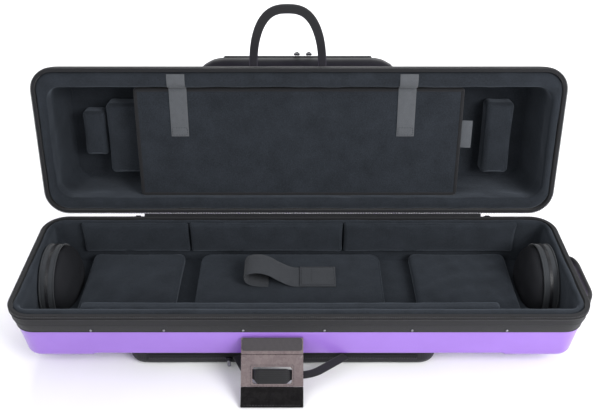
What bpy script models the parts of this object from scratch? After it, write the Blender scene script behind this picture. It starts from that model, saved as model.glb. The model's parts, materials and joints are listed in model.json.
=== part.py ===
"""Zipped trombone case, standing open on the pocket under its tray.

X runs along the case, Y from its front to its hinge, Z up, in metres. The origin is on the
base pocket's resting face, under the middle of the tray. Every piece is written as it lies in
the closed case; an empty on the hinge's axis then holds the lid's pieces open.
"""
import math

import bmesh
import bpy
from mathutils import Matrix, Vector

# Whole case
CASE_LENGTH = 0.914
CASE_WIDTH = 0.266
TRAY_DEPTH = 0.102
LID_DEPTH = 0.112
POCKET_DEPTH = 0.033
CORNER_RADIUS = 0.040
LID_OPEN_ANGLE = math.radians(101.3)
GAP = 0.0003
CUT_OVERRUN = 0.020
CORNER_STEPS = 5
ARC_STEPS = 4

# Moulded shells, with a ledge under the band
SHELL_WALL = 0.003
LEDGE_SET = 0.001
TRAY_WALL_DRAFT = 0.006
LID_WALL_DRAFT = 0.016
EDGE_RADIUS = 0.014
SHELL_FLOOR = 0.008
FOOT_STEP = 0.005
FOOT_LENGTH = 0.119

# Band and zip along each rim
RIM_GAP = 0.0005
ZIP_HEIGHT = 0.0067
ZIP_BEAD = 0.0012
BAND_HEIGHT_SHARE = 0.294118
BAND_DRAFT = 0.006
BAND_WALL = 0.003

# Lining of foam under plush
LIP_TOP = 0.0016
LIP_ROUND = 0.007
LEAST_RADIUS = 0.012
TRAY_CAVITY_RADIUS = 0.012
LID_CAVITY_RADIUS = 0.026
TRAY_FOOT_RISE = 0.023
LID_FOOT_RISE = 0.055
CAVITY_FOOT = 0.0215
LID_FOOT_END = 0.040
LID_FOOT_FRONT = 0.038
LID_FOOT_BACK = 0.036
LINING_FLOOR = 0.017
TRAY_LIP_END = 0.018
TRAY_LIP_FRONT = 0.024
TRAY_LIP_BACK = 0.016
LID_LIP_END = 0.022
LID_LIP_FRONT = 0.034
LID_LIP_BACK = 0.0275

# Cloth welt that joins lid and tray
WELT_RADIUS = 0.003
WELT_LEFT_MARGIN = 0.177
WELT_RIGHT_MARGIN = 0.127

# Foam pads on the tray's back wall and front wall
PAD_EDGE = 0.006
PAD_CROWN = 0.004
PAD_DRAW_IN = 0.0015
BACK_PAD_THICKNESS = 0.014
BACK_PAD_TOP = 0.010
BACK_PAD_RISE = 0.038
BACK_PAD_SEAM = 0.0004
BACK_PAD_END_GAP = 0.047
BACK_PAD_SEAM_SHARES = (-0.2166, 0.0875)
FRONT_PAD_THICKNESS = 0.018
FRONT_PAD_TOP = 0.004
FRONT_PAD_CROWN = 0.001
FRONT_PAD_LEFT_GAP = 0.095
FRONT_PAD_RIGHT_GAP = 0.122

# Blocks on the tray's floor
FLOOR_BLOCK_HEIGHT = 0.020
FLOOR_BLOCK_CROWN = 0.002
FLOOR_BLOCK_END_GAP = 0.063
FLOOR_BLOCK_LEFT_GAP = 0.032
FLOOR_BLOCK_RIGHT_GAP = 0.055

# Accessory box with a hinged flap
BOX_END_SHARES = (-0.1926, 0.1586)
BOX_BACK_GAP = 0.0115
BOX_HEIGHT = 0.019
BOX_WALL = 0.006
BOX_FLOOR = 0.003
BOX_CORNER = 0.020
FLAP_THICKNESS = 0.004
FLAP_FRONT_GAP = 0.001

# Strap of loop tape on the flap
STRAP_WIDTH = 0.052
STRAP_BACK_GAP = 0.041
STRAP_THICKNESS = 0.002
STRAP_RIGHT_GAP = 0.081
STRAP_PATCH_LENGTH = 0.062
STRAP_PATCH_THICKNESS = 0.0015
STRAP_LENGTH = 0.158
STRAP_LOOP_HEIGHT = 0.030
STRAP_STEPS = 3
STRAP_ROUTE_SHARES = (
    (1.00, 0.00), (0.62, 0.00), (0.50, 0.08), (0.38, 0.42), (0.26, 0.84), (0.14, 1.00),
    (0.03, 0.86), (0.00, 0.50), (0.05, 0.16), (0.15, 0.02), (0.26, 0.00),
)

# Small tabs on the front pad
TAB_THICKNESS = 0.003
TAB_SEAT = 0.0004
TAB_REACH = 0.014
TAB_DEPTH = 0.026
TAB_LENGTHS = (0.048, 0.040)
TAB_MIDDLE_SHARES = (-0.2396, 0.2385)

# Half-round mesh pouches at the tray's ends
POUCH_RADIUS = 0.065
POUCH_BACK_GAP = 0.020
POUCH_TOP = 0.004
POUCH_BULGE = 0.028
POUCH_RING_WIDTH = 0.024
POUCH_RING_OVERHANG = 0.003
POUCH_SEGMENTS = 28
POUCH_RINGS = 14

# Rivets along the band
RIVET_RADIUS = 0.0035
RIVET_HEIGHT = 0.0015
RIVET_RISE = 0.0045
RIVET_SIDES = 12
RIVET_SHARES = (-0.3556, -0.2309, -0.0952, 0.0438, 0.1937, 0.3556)

# Pocket under the tray, with its zip
POCKET_END_SHARES = (-0.3074, 0.2495)
POCKET_FRONT_GAP = 0.023
POCKET_BACK_GAP = 0.007
POCKET_CORNER = 0.030
POCKET_EDGE = 0.008
POCKET_ZIP_RADIUS = 0.0018
POCKET_ZIP_SHARE = 0.6
POCKET_ZIP_MARGIN = 0.034
POCKET_SLIDER_SHARE = 0.328

# Zip sliders and their pulls
SLIDER_LENGTH = 0.011
SLIDER_DEPTH = 0.004
SLIDER_HEIGHT = 0.008
PULL_WIDTH = 0.006
PULL_THICKNESS = 0.0018
PULL_LENGTH = 0.028
PULL_LENGTH_BASE = 0.013
PULL_LENGTH_LID = 0.020
PULL_ROUND_SHARE = 0.45
MAIN_SLIDER_GAP = 0.012

# Handle of webbing under the tray's front edge
TRAY_HANDLE_SHARE = -0.0131
TRAY_HANDLE_SPAN = 0.174
TRAY_HANDLE_LEFT_STEP = 0.019
TRAY_HANDLE_RIGHT_STEP = 0.055
TRAY_HANDLE_PIVOT_ANGLE = math.radians(45)
HANDLE_PIVOT_RADIUS = 0.003
HANDLE_HALF_WIDTH = 0.008
HANDLE_HALF_THICKNESS = 0.003
HANDLE_SIDES = 8
HANDLE_STEPS = 4
TRAY_HANDLE_CORNER = 0.018
TRAY_HANDLE_STRAIGHT = 0.008
NOSE_SHARES = (0.45, 0.85)

# Leather wrap on that handle, leaning on the shell
WRAP_MIDDLE_STEP = 0.057
WRAP_WIDTH = 0.098
WRAP_LENGTH = 0.104
WRAP_THICKNESS = 0.003
WRAP_FOOT_Z = 0.0003
WRAP_LEAN = math.radians(48)
WRAP_FOLD_LOW = 0.028
WRAP_FOLD_HIGH = 0.078
WRAP_WINDOW_WIDTH = 0.062
WRAP_WINDOW_HEIGHT = 0.026
HOOK_STRIP_HEIGHT = 0.016
HOOK_STRIP_THICKNESS = 0.0015
HOOK_STRIP_MARGIN = 0.003

# Padded handle on the right end
END_HANDLE_HALF_SPAN = 0.056
END_HANDLE_REACH = 0.030
END_HANDLE_DEPTH = 0.042
END_HANDLE_HALF_WIDTH = 0.012
END_HANDLE_HALF_THICKNESS = 0.004
END_HANDLE_CORNER = 0.028
END_HANDLE_TAPER = 0.6

# Panel and straps in the lid
PANEL_HALF_SHARE = 0.3129
PANEL_FACE_DEPTH = 0.018
PANEL_THICKNESS = 0.008
PANEL_ROUND_SHARE = 0.47
PANEL_FRONT_GAP = 0.005
LID_STRAP_WIDTH = 0.031
LID_STRAP_THICKNESS = 0.0012
LID_STRAP_SHARES = (-0.731, 0.654)
LID_STRAP_REACH = 0.086
LID_STRAP_WRAP_STEPS = 6
LID_STRAP_BEND = 0.004
LID_TAB_OVERLAP = 0.024
LID_TAB_LENGTH = 0.044
LID_TAB_THICKNESS = 0.0012
LID_TAB_SETBACK = 0.060
LID_TAB_WIDTH = 0.050

# Foam blocks in the lid
LID_BLOCK_LEFT_GAP = 0.043
LID_BLOCK_RIGHT_GAP = 0.047
LID_BLOCK_SEAM = 0.001
SMALL_BLOCK_LENGTH = 0.044
SMALL_BLOCK_BACK_GAP = 0.0615
SMALL_BLOCK_FACE = 0.055
LARGE_BLOCK_LENGTH = 0.077
LARGE_BLOCK_BACK_GAP = 0.0295
LARGE_BLOCK_FACE = 0.048
RIGHT_BLOCK_LENGTH = 0.052
RIGHT_BLOCK_BACK_GAP = 0.0265
RIGHT_BLOCK_FACE = 0.055
SMALL_BLOCK_FRONT_GAP = 0.057
LARGE_BLOCK_FRONT_GAP = 0.041
LID_BLOCK_CROWN = 0.004

# Carrying handle on the lid's front wall
LID_HANDLE_SHARE = -0.0213
LID_HANDLE_SPAN = 0.113
LID_HANDLE_REACH = 0.0985
LID_HANDLE_DEPTH = 0.060
LID_HANDLE_HALF_THICKNESS = 0.008
LID_HANDLE_CORNER = 0.050

# Pocket on the lid's broad face, with its zip
LID_POCKET_END_SHARES = (-0.2166, 0.2112)
LID_POCKET_FRONT_GAP = 0.011
LID_POCKET_WIDTH = 0.192
LID_POCKET_HEIGHT = 0.033
LID_POCKET_CORNER = 0.060
LID_POCKET_SHOULDER = 0.018
POCKET_SHOULDER_SHARE = 0.3
LID_POCKET_ZIP_RISE = 0.022
LID_POCKET_SLIDER_SHARE = 0.5243
LID_POCKET_SLIDER_SPAN = 0.022

# Finishes as colour, roughness and metallic
FINISHES = {
    "plush": ((0.020, 0.022, 0.027), 0.95, 0.0),
    "nylon": ((0.010, 0.010, 0.012), 0.80, 0.0),
    "webbing": ((0.014, 0.014, 0.016), 0.75, 0.0),
    "grey_webbing": ((0.130, 0.130, 0.145), 0.80, 0.0),
    "mesh": ((0.030, 0.030, 0.036), 0.85, 0.0),
    "grey_tape": ((0.250, 0.250, 0.270), 0.70, 0.0),
    "shell": ((0.230, 0.100, 0.620), 0.28, 0.0),
    "leather": ((0.022, 0.021, 0.022), 0.45, 0.0),
    "metal": ((0.560, 0.560, 0.580), 0.30, 1.0),
    "black_metal": ((0.020, 0.020, 0.022), 0.40, 1.0),
}
SHARP_ANGLE = math.radians(40)

# Sides of the rim plane
TRAY_SIDE = -1
LID_SIDE = 1

# Places that several pieces share
RIM_HEIGHT = TRAY_DEPTH - FOOT_STEP + POCKET_DEPTH
SHELL_TOP_DEPTH = RIM_GAP + ZIP_HEIGHT + GAP
BAND_HEIGHT = BAND_HEIGHT_SHARE * TRAY_DEPTH
BAND_BOTTOM_DEPTH = SHELL_TOP_DEPTH + BAND_HEIGHT
BAND_SLOPE = math.atan2(BAND_DRAFT, BAND_HEIGHT)
BAND_SET = BAND_WALL + GAP / math.cos(BAND_SLOPE)
SHELL_INSET = BAND_SET + SHELL_WALL
LINING_SET = SHELL_INSET + GAP + (LIP_TOP + LIP_ROUND - SHELL_TOP_DEPTH) * math.tan(BAND_SLOPE)
HINGE = Vector((0, CASE_WIDTH / 2 + WELT_RADIUS + GAP, RIM_HEIGHT))
TRAY_CAVITY_DEPTH = TRAY_DEPTH - LINING_FLOOR
LID_CAVITY_DEPTH = LID_DEPTH - LINING_FLOOR
TRAY_FLOOR = RIM_HEIGHT - TRAY_CAVITY_DEPTH
TRAY_INNER_END = CASE_LENGTH / 2 - TRAY_LIP_END
TRAY_INNER_FRONT = TRAY_LIP_FRONT - CASE_WIDTH / 2
TRAY_INNER_BACK = CASE_WIDTH / 2 - TRAY_LIP_BACK
FRONT_PAD_FACE = TRAY_INNER_FRONT + GAP + FRONT_PAD_THICKNESS
BOX_FRONT = FRONT_PAD_FACE + FLAP_FRONT_GAP
BOX_LEFT, BOX_RIGHT = (share * CASE_LENGTH for share in BOX_END_SHARES)
BOX_BACK = CASE_WIDTH / 2 - CAVITY_FOOT - BOX_BACK_GAP
FLAP_BOTTOM = TRAY_FLOOR + GAP + BOX_HEIGHT + GAP
FLAP_TOP = FLAP_BOTTOM + FLAP_THICKNESS
STRAP_FRONT = BOX_BACK - STRAP_BACK_GAP - STRAP_WIDTH
STRAP_PATCH_RIGHT = BOX_RIGHT - STRAP_RIGHT_GAP
STRAP_PATCH_LEFT = STRAP_PATCH_RIGHT - STRAP_PATCH_LENGTH
STRAP_LOOP_LEFT = STRAP_PATCH_RIGHT - STRAP_LENGTH
POUCH_CENTRE_Y = TRAY_INNER_BACK - POUCH_BACK_GAP - POUCH_RADIUS
WELT_LEFT = WELT_LEFT_MARGIN - CASE_LENGTH / 2
WELT_RIGHT = CASE_LENGTH / 2 - WELT_RIGHT_MARGIN
POCKET_LEFT, POCKET_RIGHT = (share * CASE_LENGTH for share in POCKET_END_SHARES)
POCKET_FRONT = POCKET_FRONT_GAP - CASE_WIDTH / 2
POCKET_BACK = CASE_WIDTH / 2 - POCKET_BACK_GAP
TRAY_HANDLE_LEFT = TRAY_HANDLE_SHARE * CASE_LENGTH - TRAY_HANDLE_SPAN / 2
TRAY_HANDLE_RIGHT = TRAY_HANDLE_LEFT + TRAY_HANDLE_SPAN
WRAP_MIDDLE_X = TRAY_HANDLE_LEFT + WRAP_MIDDLE_STEP
PANEL_FACE = RIM_HEIGHT + PANEL_FACE_DEPTH
PANEL_BACK = CASE_WIDTH / 2 - LID_LIP_BACK - GAP
PANEL_FRONT = LID_LIP_FRONT + PANEL_FRONT_GAP - CASE_WIDTH / 2
PANEL_HALF_LENGTH = PANEL_HALF_SHARE * CASE_LENGTH
LID_POCKET_LEFT, LID_POCKET_RIGHT = (share * CASE_LENGTH for share in LID_POCKET_END_SHARES)
LID_POCKET_FRONT = LID_POCKET_FRONT_GAP - CASE_WIDTH / 2
LID_POCKET_BACK = LID_POCKET_FRONT + LID_POCKET_WIDTH
LID_TOP = RIM_HEIGHT + LID_DEPTH
TRAY_BOTTOM = RIM_HEIGHT - TRAY_DEPTH + FOOT_STEP


def clear_scene():
    """Remove every object, so that the script can be run again."""
    for item in list(bpy.data.objects):
        bpy.data.objects.remove(item, do_unlink=True)


def make_collection(name):
    """A collection linked to the scene."""
    collection = bpy.data.collections.new(name)
    bpy.context.scene.collection.children.link(collection)
    return collection


def make_material(name, finish):
    """A Principled BSDF with one of the named finishes."""
    colour, roughness, metallic = FINISHES[finish]
    material = bpy.data.materials.new(name)
    material.use_nodes = True
    shader = material.node_tree.nodes["Principled BSDF"]
    shader.inputs["Base Color"].default_value = (*colour, 1)
    shader.inputs["Roughness"].default_value = roughness
    shader.inputs["Metallic"].default_value = metallic
    return material


def add_piece(name, mesh, finish, pivot=None, frame=None):
    """Add a mesh as one piece whose origin is its pivot, under the lid's frame if it has one."""
    if pivot is None:
        pivot = HINGE if frame else Vector((0, 0, 0))
    mesh.name = name
    mesh.transform(Matrix.Translation(-pivot))
    mesh.shade_smooth()
    mesh.set_sharp_from_angle(angle=SHARP_ANGLE)
    mesh.materials.append(make_material(name, finish))
    piece = bpy.data.objects.new(name, mesh)
    case_pieces.objects.link(piece)
    piece.location = pivot
    if frame:
        piece.parent = frame
        piece.location = pivot - HINGE
    return piece


def to_mesh(shape):
    """Turn a bmesh into a mesh whose faces point out."""
    bmesh.ops.recalc_face_normals(shape, faces=shape.faces)
    mesh = bpy.data.meshes.new("shape")
    shape.to_mesh(mesh)
    shape.free()
    return mesh


def loft(rings, closed=False):
    """Skin rings of equal counts; a closed loft joins its last ring to its first."""
    shape = bmesh.new()
    loops = [[shape.verts.new(point) for point in ring] for ring in rings]
    pairs = list(zip(loops, loops[1:]))
    if closed:
        pairs.append((loops[-1], loops[0]))
    for low, high in pairs:
        for index in range(len(low)):
            after = (index + 1) % len(low)
            shape.faces.new((low[index], low[after], high[after], high[index]))
    if not closed:
        shape.faces.new(loops[0])
        shape.faces.new(loops[-1])
    return to_mesh(shape)


def box_shape(low, high):
    """A bmesh box between two corners."""
    shape = bmesh.new()
    bmesh.ops.create_cube(shape, size=1)
    low = Vector(low)
    high = Vector(high)
    middle = (low + high) / 2
    for vertex in shape.verts:
        vertex.co = middle + Matrix.Diagonal(high - low) @ vertex.co
    return shape


def rounded_box(low, high, radius, segments=2):
    """A box with every edge rounded."""
    shape = box_shape(low, high)
    edges = list(shape.edges)
    bmesh.ops.bevel(shape, geom=edges, offset=radius, segments=segments, profile=0.5, affect="EDGES")
    return to_mesh(shape)


def rounded_rectangle(low, high, radius, height):
    """Ring of a level rectangle with round corners, anticlockwise from above."""
    centres = (
        (high[0] - radius, high[1] - radius),
        (low[0] + radius, high[1] - radius),
        (low[0] + radius, low[1] + radius),
        (high[0] - radius, low[1] + radius),
    )
    ring = []
    for corner, (x, y) in enumerate(centres):
        for step in range(CORNER_STEPS + 1):
            angle = (corner + step / CORNER_STEPS) * math.pi / 2
            ring.append((x + radius * math.cos(angle), y + radius * math.sin(angle), height))
    return ring


def case_ring(depth, side, end, front=None, back=None, radius=None):
    """Ring of the case's plan outline, drawn in by its insets, at a depth from the rim plane."""
    front = end if front is None else front
    back = end if back is None else back
    low = (end - CASE_LENGTH / 2, front - CASE_WIDTH / 2)
    high = (CASE_LENGTH / 2 - end, CASE_WIDTH / 2 - back)
    if radius is None:
        radius = max(CORNER_RADIUS - end, LEAST_RADIUS)
    return rounded_rectangle(low, high, radius, RIM_HEIGHT + side * depth)


def wall_inset(depth, total_depth, draft):
    """Inset of a shell's outer wall, which leans in below its band."""
    ledge = BAND_BOTTOM_DEPTH + GAP
    share = (depth - ledge) / (total_depth - EDGE_RADIUS - ledge)
    return LEDGE_SET + BAND_DRAFT + draft * min(share, 1)


def edge_arc(inset, depth, radius):
    """Insets and depths round a tub's bottom edge, from its flat bottom up to its wall."""
    arc = []
    for step in range(ARC_STEPS + 1):
        angle = (1 - step / ARC_STEPS) * math.pi / 2
        arc.append((inset + radius * (1 - math.cos(angle)), depth - radius * (1 - math.sin(angle))))
    return arc


def tub_profile(depth, floor, draft):
    """Outer and inner outlines of a shell as insets and depths, from the bottom to its top."""
    outer = edge_arc(wall_inset(depth, depth, draft), depth, EDGE_RADIUS)
    ledge = BAND_BOTTOM_DEPTH + GAP
    outer += [(LEDGE_SET + BAND_DRAFT, ledge), (BAND_SET + BAND_DRAFT, ledge), (BAND_SET, SHELL_TOP_DEPTH)]
    inner_radius = EDGE_RADIUS + LEDGE_SET - SHELL_INSET + SHELL_WALL
    inner = edge_arc(SHELL_INSET + BAND_DRAFT + draft, depth - floor, inner_radius)
    inner += [(SHELL_INSET + BAND_DRAFT, ledge), (SHELL_INSET, SHELL_TOP_DEPTH)]
    return outer, inner


def add_shell(name, side, depth, floor, draft, frame=None):
    """Moulded shell of one half: drafted walls, a rounded bottom edge and a ledge at the band."""
    outer, inner = tub_profile(depth, floor, draft)
    outline = outer + inner[::-1]
    rings = [case_ring(level, side, inset) for inset, level in outline]
    return add_piece(name, loft(rings), "shell", frame=frame)


def cut_feet(shell):
    """Leave a moulded foot under each end of the tray by cutting the middle of its underside."""
    reach = CASE_WIDTH / 2 + CUT_OVERRUN
    foot_start = CASE_LENGTH / 2 - FOOT_LENGTH
    low = (-foot_start, -reach, -CUT_OVERRUN)
    cutter = bpy.data.objects.new("feet_cutter", to_mesh(box_shape(low, (foot_start, reach, TRAY_BOTTOM))))
    cutters.objects.link(cutter)
    cutter.hide_render = True
    cutter.display_type = "WIRE"
    cut = shell.modifiers.new("Feet", "BOOLEAN")
    cut.operation = "DIFFERENCE"
    cut.object = cutter


def add_band(name, side, frame=None):
    """Fabric band round a shell's rim."""
    outline = (
        (0, SHELL_TOP_DEPTH),
        (BAND_DRAFT, BAND_BOTTOM_DEPTH),
        (BAND_DRAFT + BAND_WALL, BAND_BOTTOM_DEPTH),
        (BAND_WALL, SHELL_TOP_DEPTH),
    )
    rings = [case_ring(level, side, inset) for inset, level in outline]
    return add_piece(name, loft(rings, closed=True), "nylon", frame=frame)


def add_zip_half(name, side, frame=None):
    """Half of the main zip: a tape over the shell's edge with a proud bead of teeth."""
    low = RIM_GAP + ZIP_HEIGHT
    middle = RIM_GAP + ZIP_HEIGHT / 2
    outline = (
        (0, RIM_GAP),
        (0, middle),
        (ZIP_BEAD, middle),
        (ZIP_BEAD, low),
        (SHELL_INSET, low),
        (SHELL_INSET, RIM_GAP),
    )
    rings = [case_ring(level, side, inset) for inset, level in outline]
    return add_piece(name, loft(rings, closed=True), "nylon", frame=frame)


def add_lining(name, side, depth, floor, draft, cavity, rise, lips, feet, radius, frame=None):
    """Foam lining: it follows the shell outside, rolls over at the rim and has a flat floor."""
    end, front, back = lips
    inner = tub_profile(depth, floor, draft)[1]
    rings = []
    for inset, level in inner[:ARC_STEPS + 1]:
        rings.append(case_ring(level - GAP, side, inset + GAP))
    rings.append(case_ring(BAND_BOTTOM_DEPTH, side, LINING_SET + BAND_DRAFT))
    for step in range(2 * ARC_STEPS + 1):
        angle = math.pi * step / (2 * ARC_STEPS)
        level = LIP_TOP + LIP_ROUND * (1 - math.sin(angle))
        share = (1 - math.cos(angle)) / 2
        insets = [LINING_SET + (lip - LINING_SET) * share for lip in (end, front, back)]
        rim_radius = CORNER_RADIUS - LINING_SET
        rings.append(case_ring(level, side, *insets, rim_radius + (radius - rim_radius) * share))
    rings.append(case_ring(cavity - rise, side, end, front, back, radius))
    rings.append(case_ring(cavity, side, *feet, radius))
    return add_piece(name, loft(rings), "plush", frame=frame)


def add_pad(name, low, high, axis, facing, crown, frame=None):
    """Upholstered foam block: a coarse cage, crowned on its open face and drawn in at its sides."""
    shape = box_shape(low, high)
    low = Vector(low)
    high = Vector(high)
    for across in range(3):
        normal = Vector([1 if index == across else 0 for index in range(3)])
        middle = (low[across] + high[across]) / 2
        places = [middle] if across == axis else [low[across] + PAD_EDGE, middle, high[across] - PAD_EDGE]
        for place in places:
            everything = shape.verts[:] + shape.edges[:] + shape.faces[:]
            bmesh.ops.bisect_plane(shape, geom=everything, plane_co=normal * place, plane_no=normal)
    middle = (low + high) / 2
    half = (high - low) / 2
    in_plane = [index for index in range(3) if index != axis]
    for vertex in shape.verts:
        shares = [(vertex.co[index] - middle[index]) / half[index] for index in range(3)]
        swell = 1
        for index in in_plane:
            swell *= 1 - shares[index] ** 2
        if shares[axis] * facing > 0.5:
            vertex.co[axis] -= facing * crown * (1 - swell)
        for index, other in (in_plane, in_plane[::-1]):
            if abs(shares[index]) > 0.999:
                vertex.co[index] -= math.copysign(PAD_DRAW_IN * (1 - shares[other] ** 2), shares[index])
    pad = add_piece(name, to_mesh(shape), "plush", frame=frame)
    soften = pad.modifiers.new("Soften", "SUBSURF")
    soften.levels = 1
    soften.render_levels = 1
    return pad


def add_tray_pads():
    """Pads along the tray's back and front walls."""
    seam = BACK_PAD_SEAM / 2
    reach = TRAY_INNER_END - BACK_PAD_END_GAP
    left_seam, right_seam = (share * CASE_LENGTH for share in BACK_PAD_SEAM_SHARES)
    ends = {
        "back_pad_left": (-reach, left_seam - seam),
        "back_pad_middle": (left_seam + seam, right_seam - seam),
        "back_pad_right": (right_seam + seam, reach),
    }
    back = TRAY_INNER_BACK - GAP
    for name, (left, right) in ends.items():
        low = (left, back - BACK_PAD_THICKNESS, RIM_HEIGHT - TRAY_DEPTH + BACK_PAD_RISE)
        high = (right, back, RIM_HEIGHT - BACK_PAD_TOP)
        add_pad(name, low, high, 1, -1, PAD_CROWN)
    low = (FRONT_PAD_LEFT_GAP - TRAY_INNER_END, TRAY_INNER_FRONT + GAP, TRAY_FLOOR + GAP)
    high = (TRAY_INNER_END - FRONT_PAD_RIGHT_GAP, FRONT_PAD_FACE, RIM_HEIGHT - FRONT_PAD_TOP)
    add_pad("front_pad", low, high, 1, 1, FRONT_PAD_CROWN)


def add_floor_blocks():
    """Raised foam blocks on the tray's floor, either side of the accessory box."""
    reach = TRAY_INNER_END - FLOOR_BLOCK_END_GAP
    ends = {
        "floor_block_left": (-reach, BOX_LEFT - FLOOR_BLOCK_LEFT_GAP),
        "floor_block_right": (BOX_RIGHT + FLOOR_BLOCK_RIGHT_GAP, reach),
    }
    for name, (left, right) in ends.items():
        low = (left, BOX_FRONT, TRAY_FLOOR + GAP)
        high = (right, CASE_WIDTH / 2 - CAVITY_FOOT - GAP, TRAY_FLOOR + GAP + FLOOR_BLOCK_HEIGHT)
        add_pad(name, low, high, 2, 1, FLOOR_BLOCK_CROWN)


def add_accessory_box():
    """Open box on the tray's floor."""
    bottom = TRAY_FLOOR + GAP
    top = bottom + BOX_HEIGHT
    low = Vector((BOX_LEFT, BOX_FRONT))
    high = Vector((BOX_RIGHT, BOX_BACK))
    wall = Vector((BOX_WALL, BOX_WALL))
    inner_radius = BOX_CORNER - BOX_WALL
    rings = [
        rounded_rectangle(low, high, BOX_CORNER, bottom),
        rounded_rectangle(low, high, BOX_CORNER, top),
        rounded_rectangle(low + wall, high - wall, inner_radius, top),
        rounded_rectangle(low + wall, high - wall, inner_radius, bottom + BOX_FLOOR),
    ]
    add_piece("accessory_box", loft(rings), "plush")


def flap_pivot():
    """Point on the flap's hinge line, along its front edge."""
    return Vector((0, BOX_FRONT + FLAP_THICKNESS / 2, (FLAP_BOTTOM + FLAP_TOP) / 2))


def add_accessory_flap():
    """Lid of the accessory box, with a half-round front edge on its hinge line."""
    pivot = flap_pivot()
    radius = FLAP_THICKNESS / 2
    shape = bmesh.new()
    outline = []
    corner_centres = ((BOX_RIGHT - BOX_CORNER, 0), (BOX_LEFT + BOX_CORNER, math.pi / 2))
    outline.append((BOX_RIGHT, pivot.y))
    for x, start in corner_centres:
        for step in range(CORNER_STEPS + 1):
            angle = start + step / CORNER_STEPS * math.pi / 2
            y = BOX_BACK - BOX_CORNER
            outline.append((x + BOX_CORNER * math.cos(angle), y + BOX_CORNER * math.sin(angle)))
    outline.append((BOX_LEFT, pivot.y))
    low = [shape.verts.new((x, y, FLAP_BOTTOM)) for x, y in outline]
    high = [shape.verts.new((x, y, FLAP_TOP)) for x, y in outline]
    shape.faces.new(low)
    shape.faces.new(high)
    for index in range(len(outline) - 1):
        shape.faces.new((low[index], low[index + 1], high[index + 1], high[index]))
    nose = []
    for step in range(1, ARC_STEPS):
        angle = math.pi * step / ARC_STEPS
        y = pivot.y - radius * math.sin(angle)
        z = pivot.z - radius * math.cos(angle)
        nose.append((shape.verts.new((BOX_RIGHT, y, z)), shape.verts.new((BOX_LEFT, y, z))))
    edge = [(low[0], low[-1])] + nose + [(high[0], high[-1])]
    for (right, left), (next_right, next_left) in zip(edge, edge[1:]):
        shape.faces.new((right, left, next_left, next_right))
    shape.faces.new([right for right, left in edge])
    shape.faces.new([left for right, left in edge])
    add_piece("accessory_flap", to_mesh(shape), "plush", pivot=pivot)


def smooth_route(points, steps):
    """Points of a smooth curve through the given ones, each span cut into equal steps."""
    route = []
    for index in range(len(points) - 1):
        before = points[max(index - 1, 0)]
        start = points[index]
        end = points[index + 1]
        after = points[min(index + 2, len(points) - 1)]
        for step in range(steps):
            t = step / steps
            route.append(0.5 * (2 * start + (end - before) * t
                                + (2 * before - 5 * start + 4 * end - after) * t ** 2
                                + (3 * start - before - 3 * end + after) * t ** 3))
    route.append(points[-1])
    return route


def add_ribbon(name, route, across, width, thickness, finish, pivot=None, frame=None):
    """Flat strap: a strip carried along a route, thickened evenly to both sides."""
    shape = bmesh.new()
    side = Vector(across) * width / 2
    rows = [(shape.verts.new(point - side), shape.verts.new(point + side)) for point in route]
    for (left, right), (next_left, next_right) in zip(rows, rows[1:]):
        shape.faces.new((left, right, next_right, next_left))
    strap = add_piece(name, to_mesh(shape), finish, pivot=pivot, frame=frame)
    thicken = strap.modifiers.new("Thickness", "SOLIDIFY")
    thicken.thickness = thickness
    thicken.offset = 0
    return strap


def add_holding_strap():
    """Strap on the flap, sewn down at its right end and curled over at its left, with its patch."""
    base = FLAP_TOP + GAP + STRAP_THICKNESS / 2
    y = STRAP_FRONT + STRAP_WIDTH / 2
    span = STRAP_PATCH_RIGHT - STRAP_LOOP_LEFT
    route = []
    for along_share, rise_share in STRAP_ROUTE_SHARES:
        x = STRAP_LOOP_LEFT + span * along_share
        route.append(Vector((x, y, base + STRAP_LOOP_HEIGHT * rise_share)))
    route = smooth_route(route, STRAP_STEPS)
    add_ribbon("holding_strap", route, (0, 1, 0), STRAP_WIDTH, STRAP_THICKNESS, "grey_webbing",
               pivot=flap_pivot())
    bottom = base + STRAP_THICKNESS / 2 + GAP
    low = (STRAP_PATCH_LEFT, STRAP_FRONT, bottom)
    high = (STRAP_PATCH_RIGHT, STRAP_FRONT + STRAP_WIDTH, bottom + STRAP_PATCH_THICKNESS)
    add_piece("strap_patch", to_mesh(box_shape(low, high)), "grey_webbing", pivot=flap_pivot())


def add_front_tabs():
    """Two small tabs that stand out of the front pad's face."""
    face = FRONT_PAD_FACE - TAB_SEAT
    for name, share, length in zip(("tab_left", "tab_right"), TAB_MIDDLE_SHARES, TAB_LENGTHS):
        left = share * CASE_LENGTH - length / 2
        right = left + length
        middle = RIM_HEIGHT - TAB_DEPTH
        low = (left, face, middle - TAB_THICKNESS / 2)
        high = (right, face + TAB_REACH, middle + TAB_THICKNESS / 2)
        add_piece(name, rounded_box(low, high, TAB_THICKNESS / 3), "grey_webbing")


def trim_below(shape, place, normal):
    """Cut a closed bmesh by a plane, keep the side that the normal points to and close it."""
    everything = shape.verts[:] + shape.edges[:] + shape.faces[:]
    bmesh.ops.bisect_plane(shape, geom=everything, plane_co=place, plane_no=normal, clear_inner=True)
    rim = [edge for edge in shape.edges if edge.is_boundary]
    bmesh.ops.edgeloop_fill(shape, edges=rim)


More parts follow.
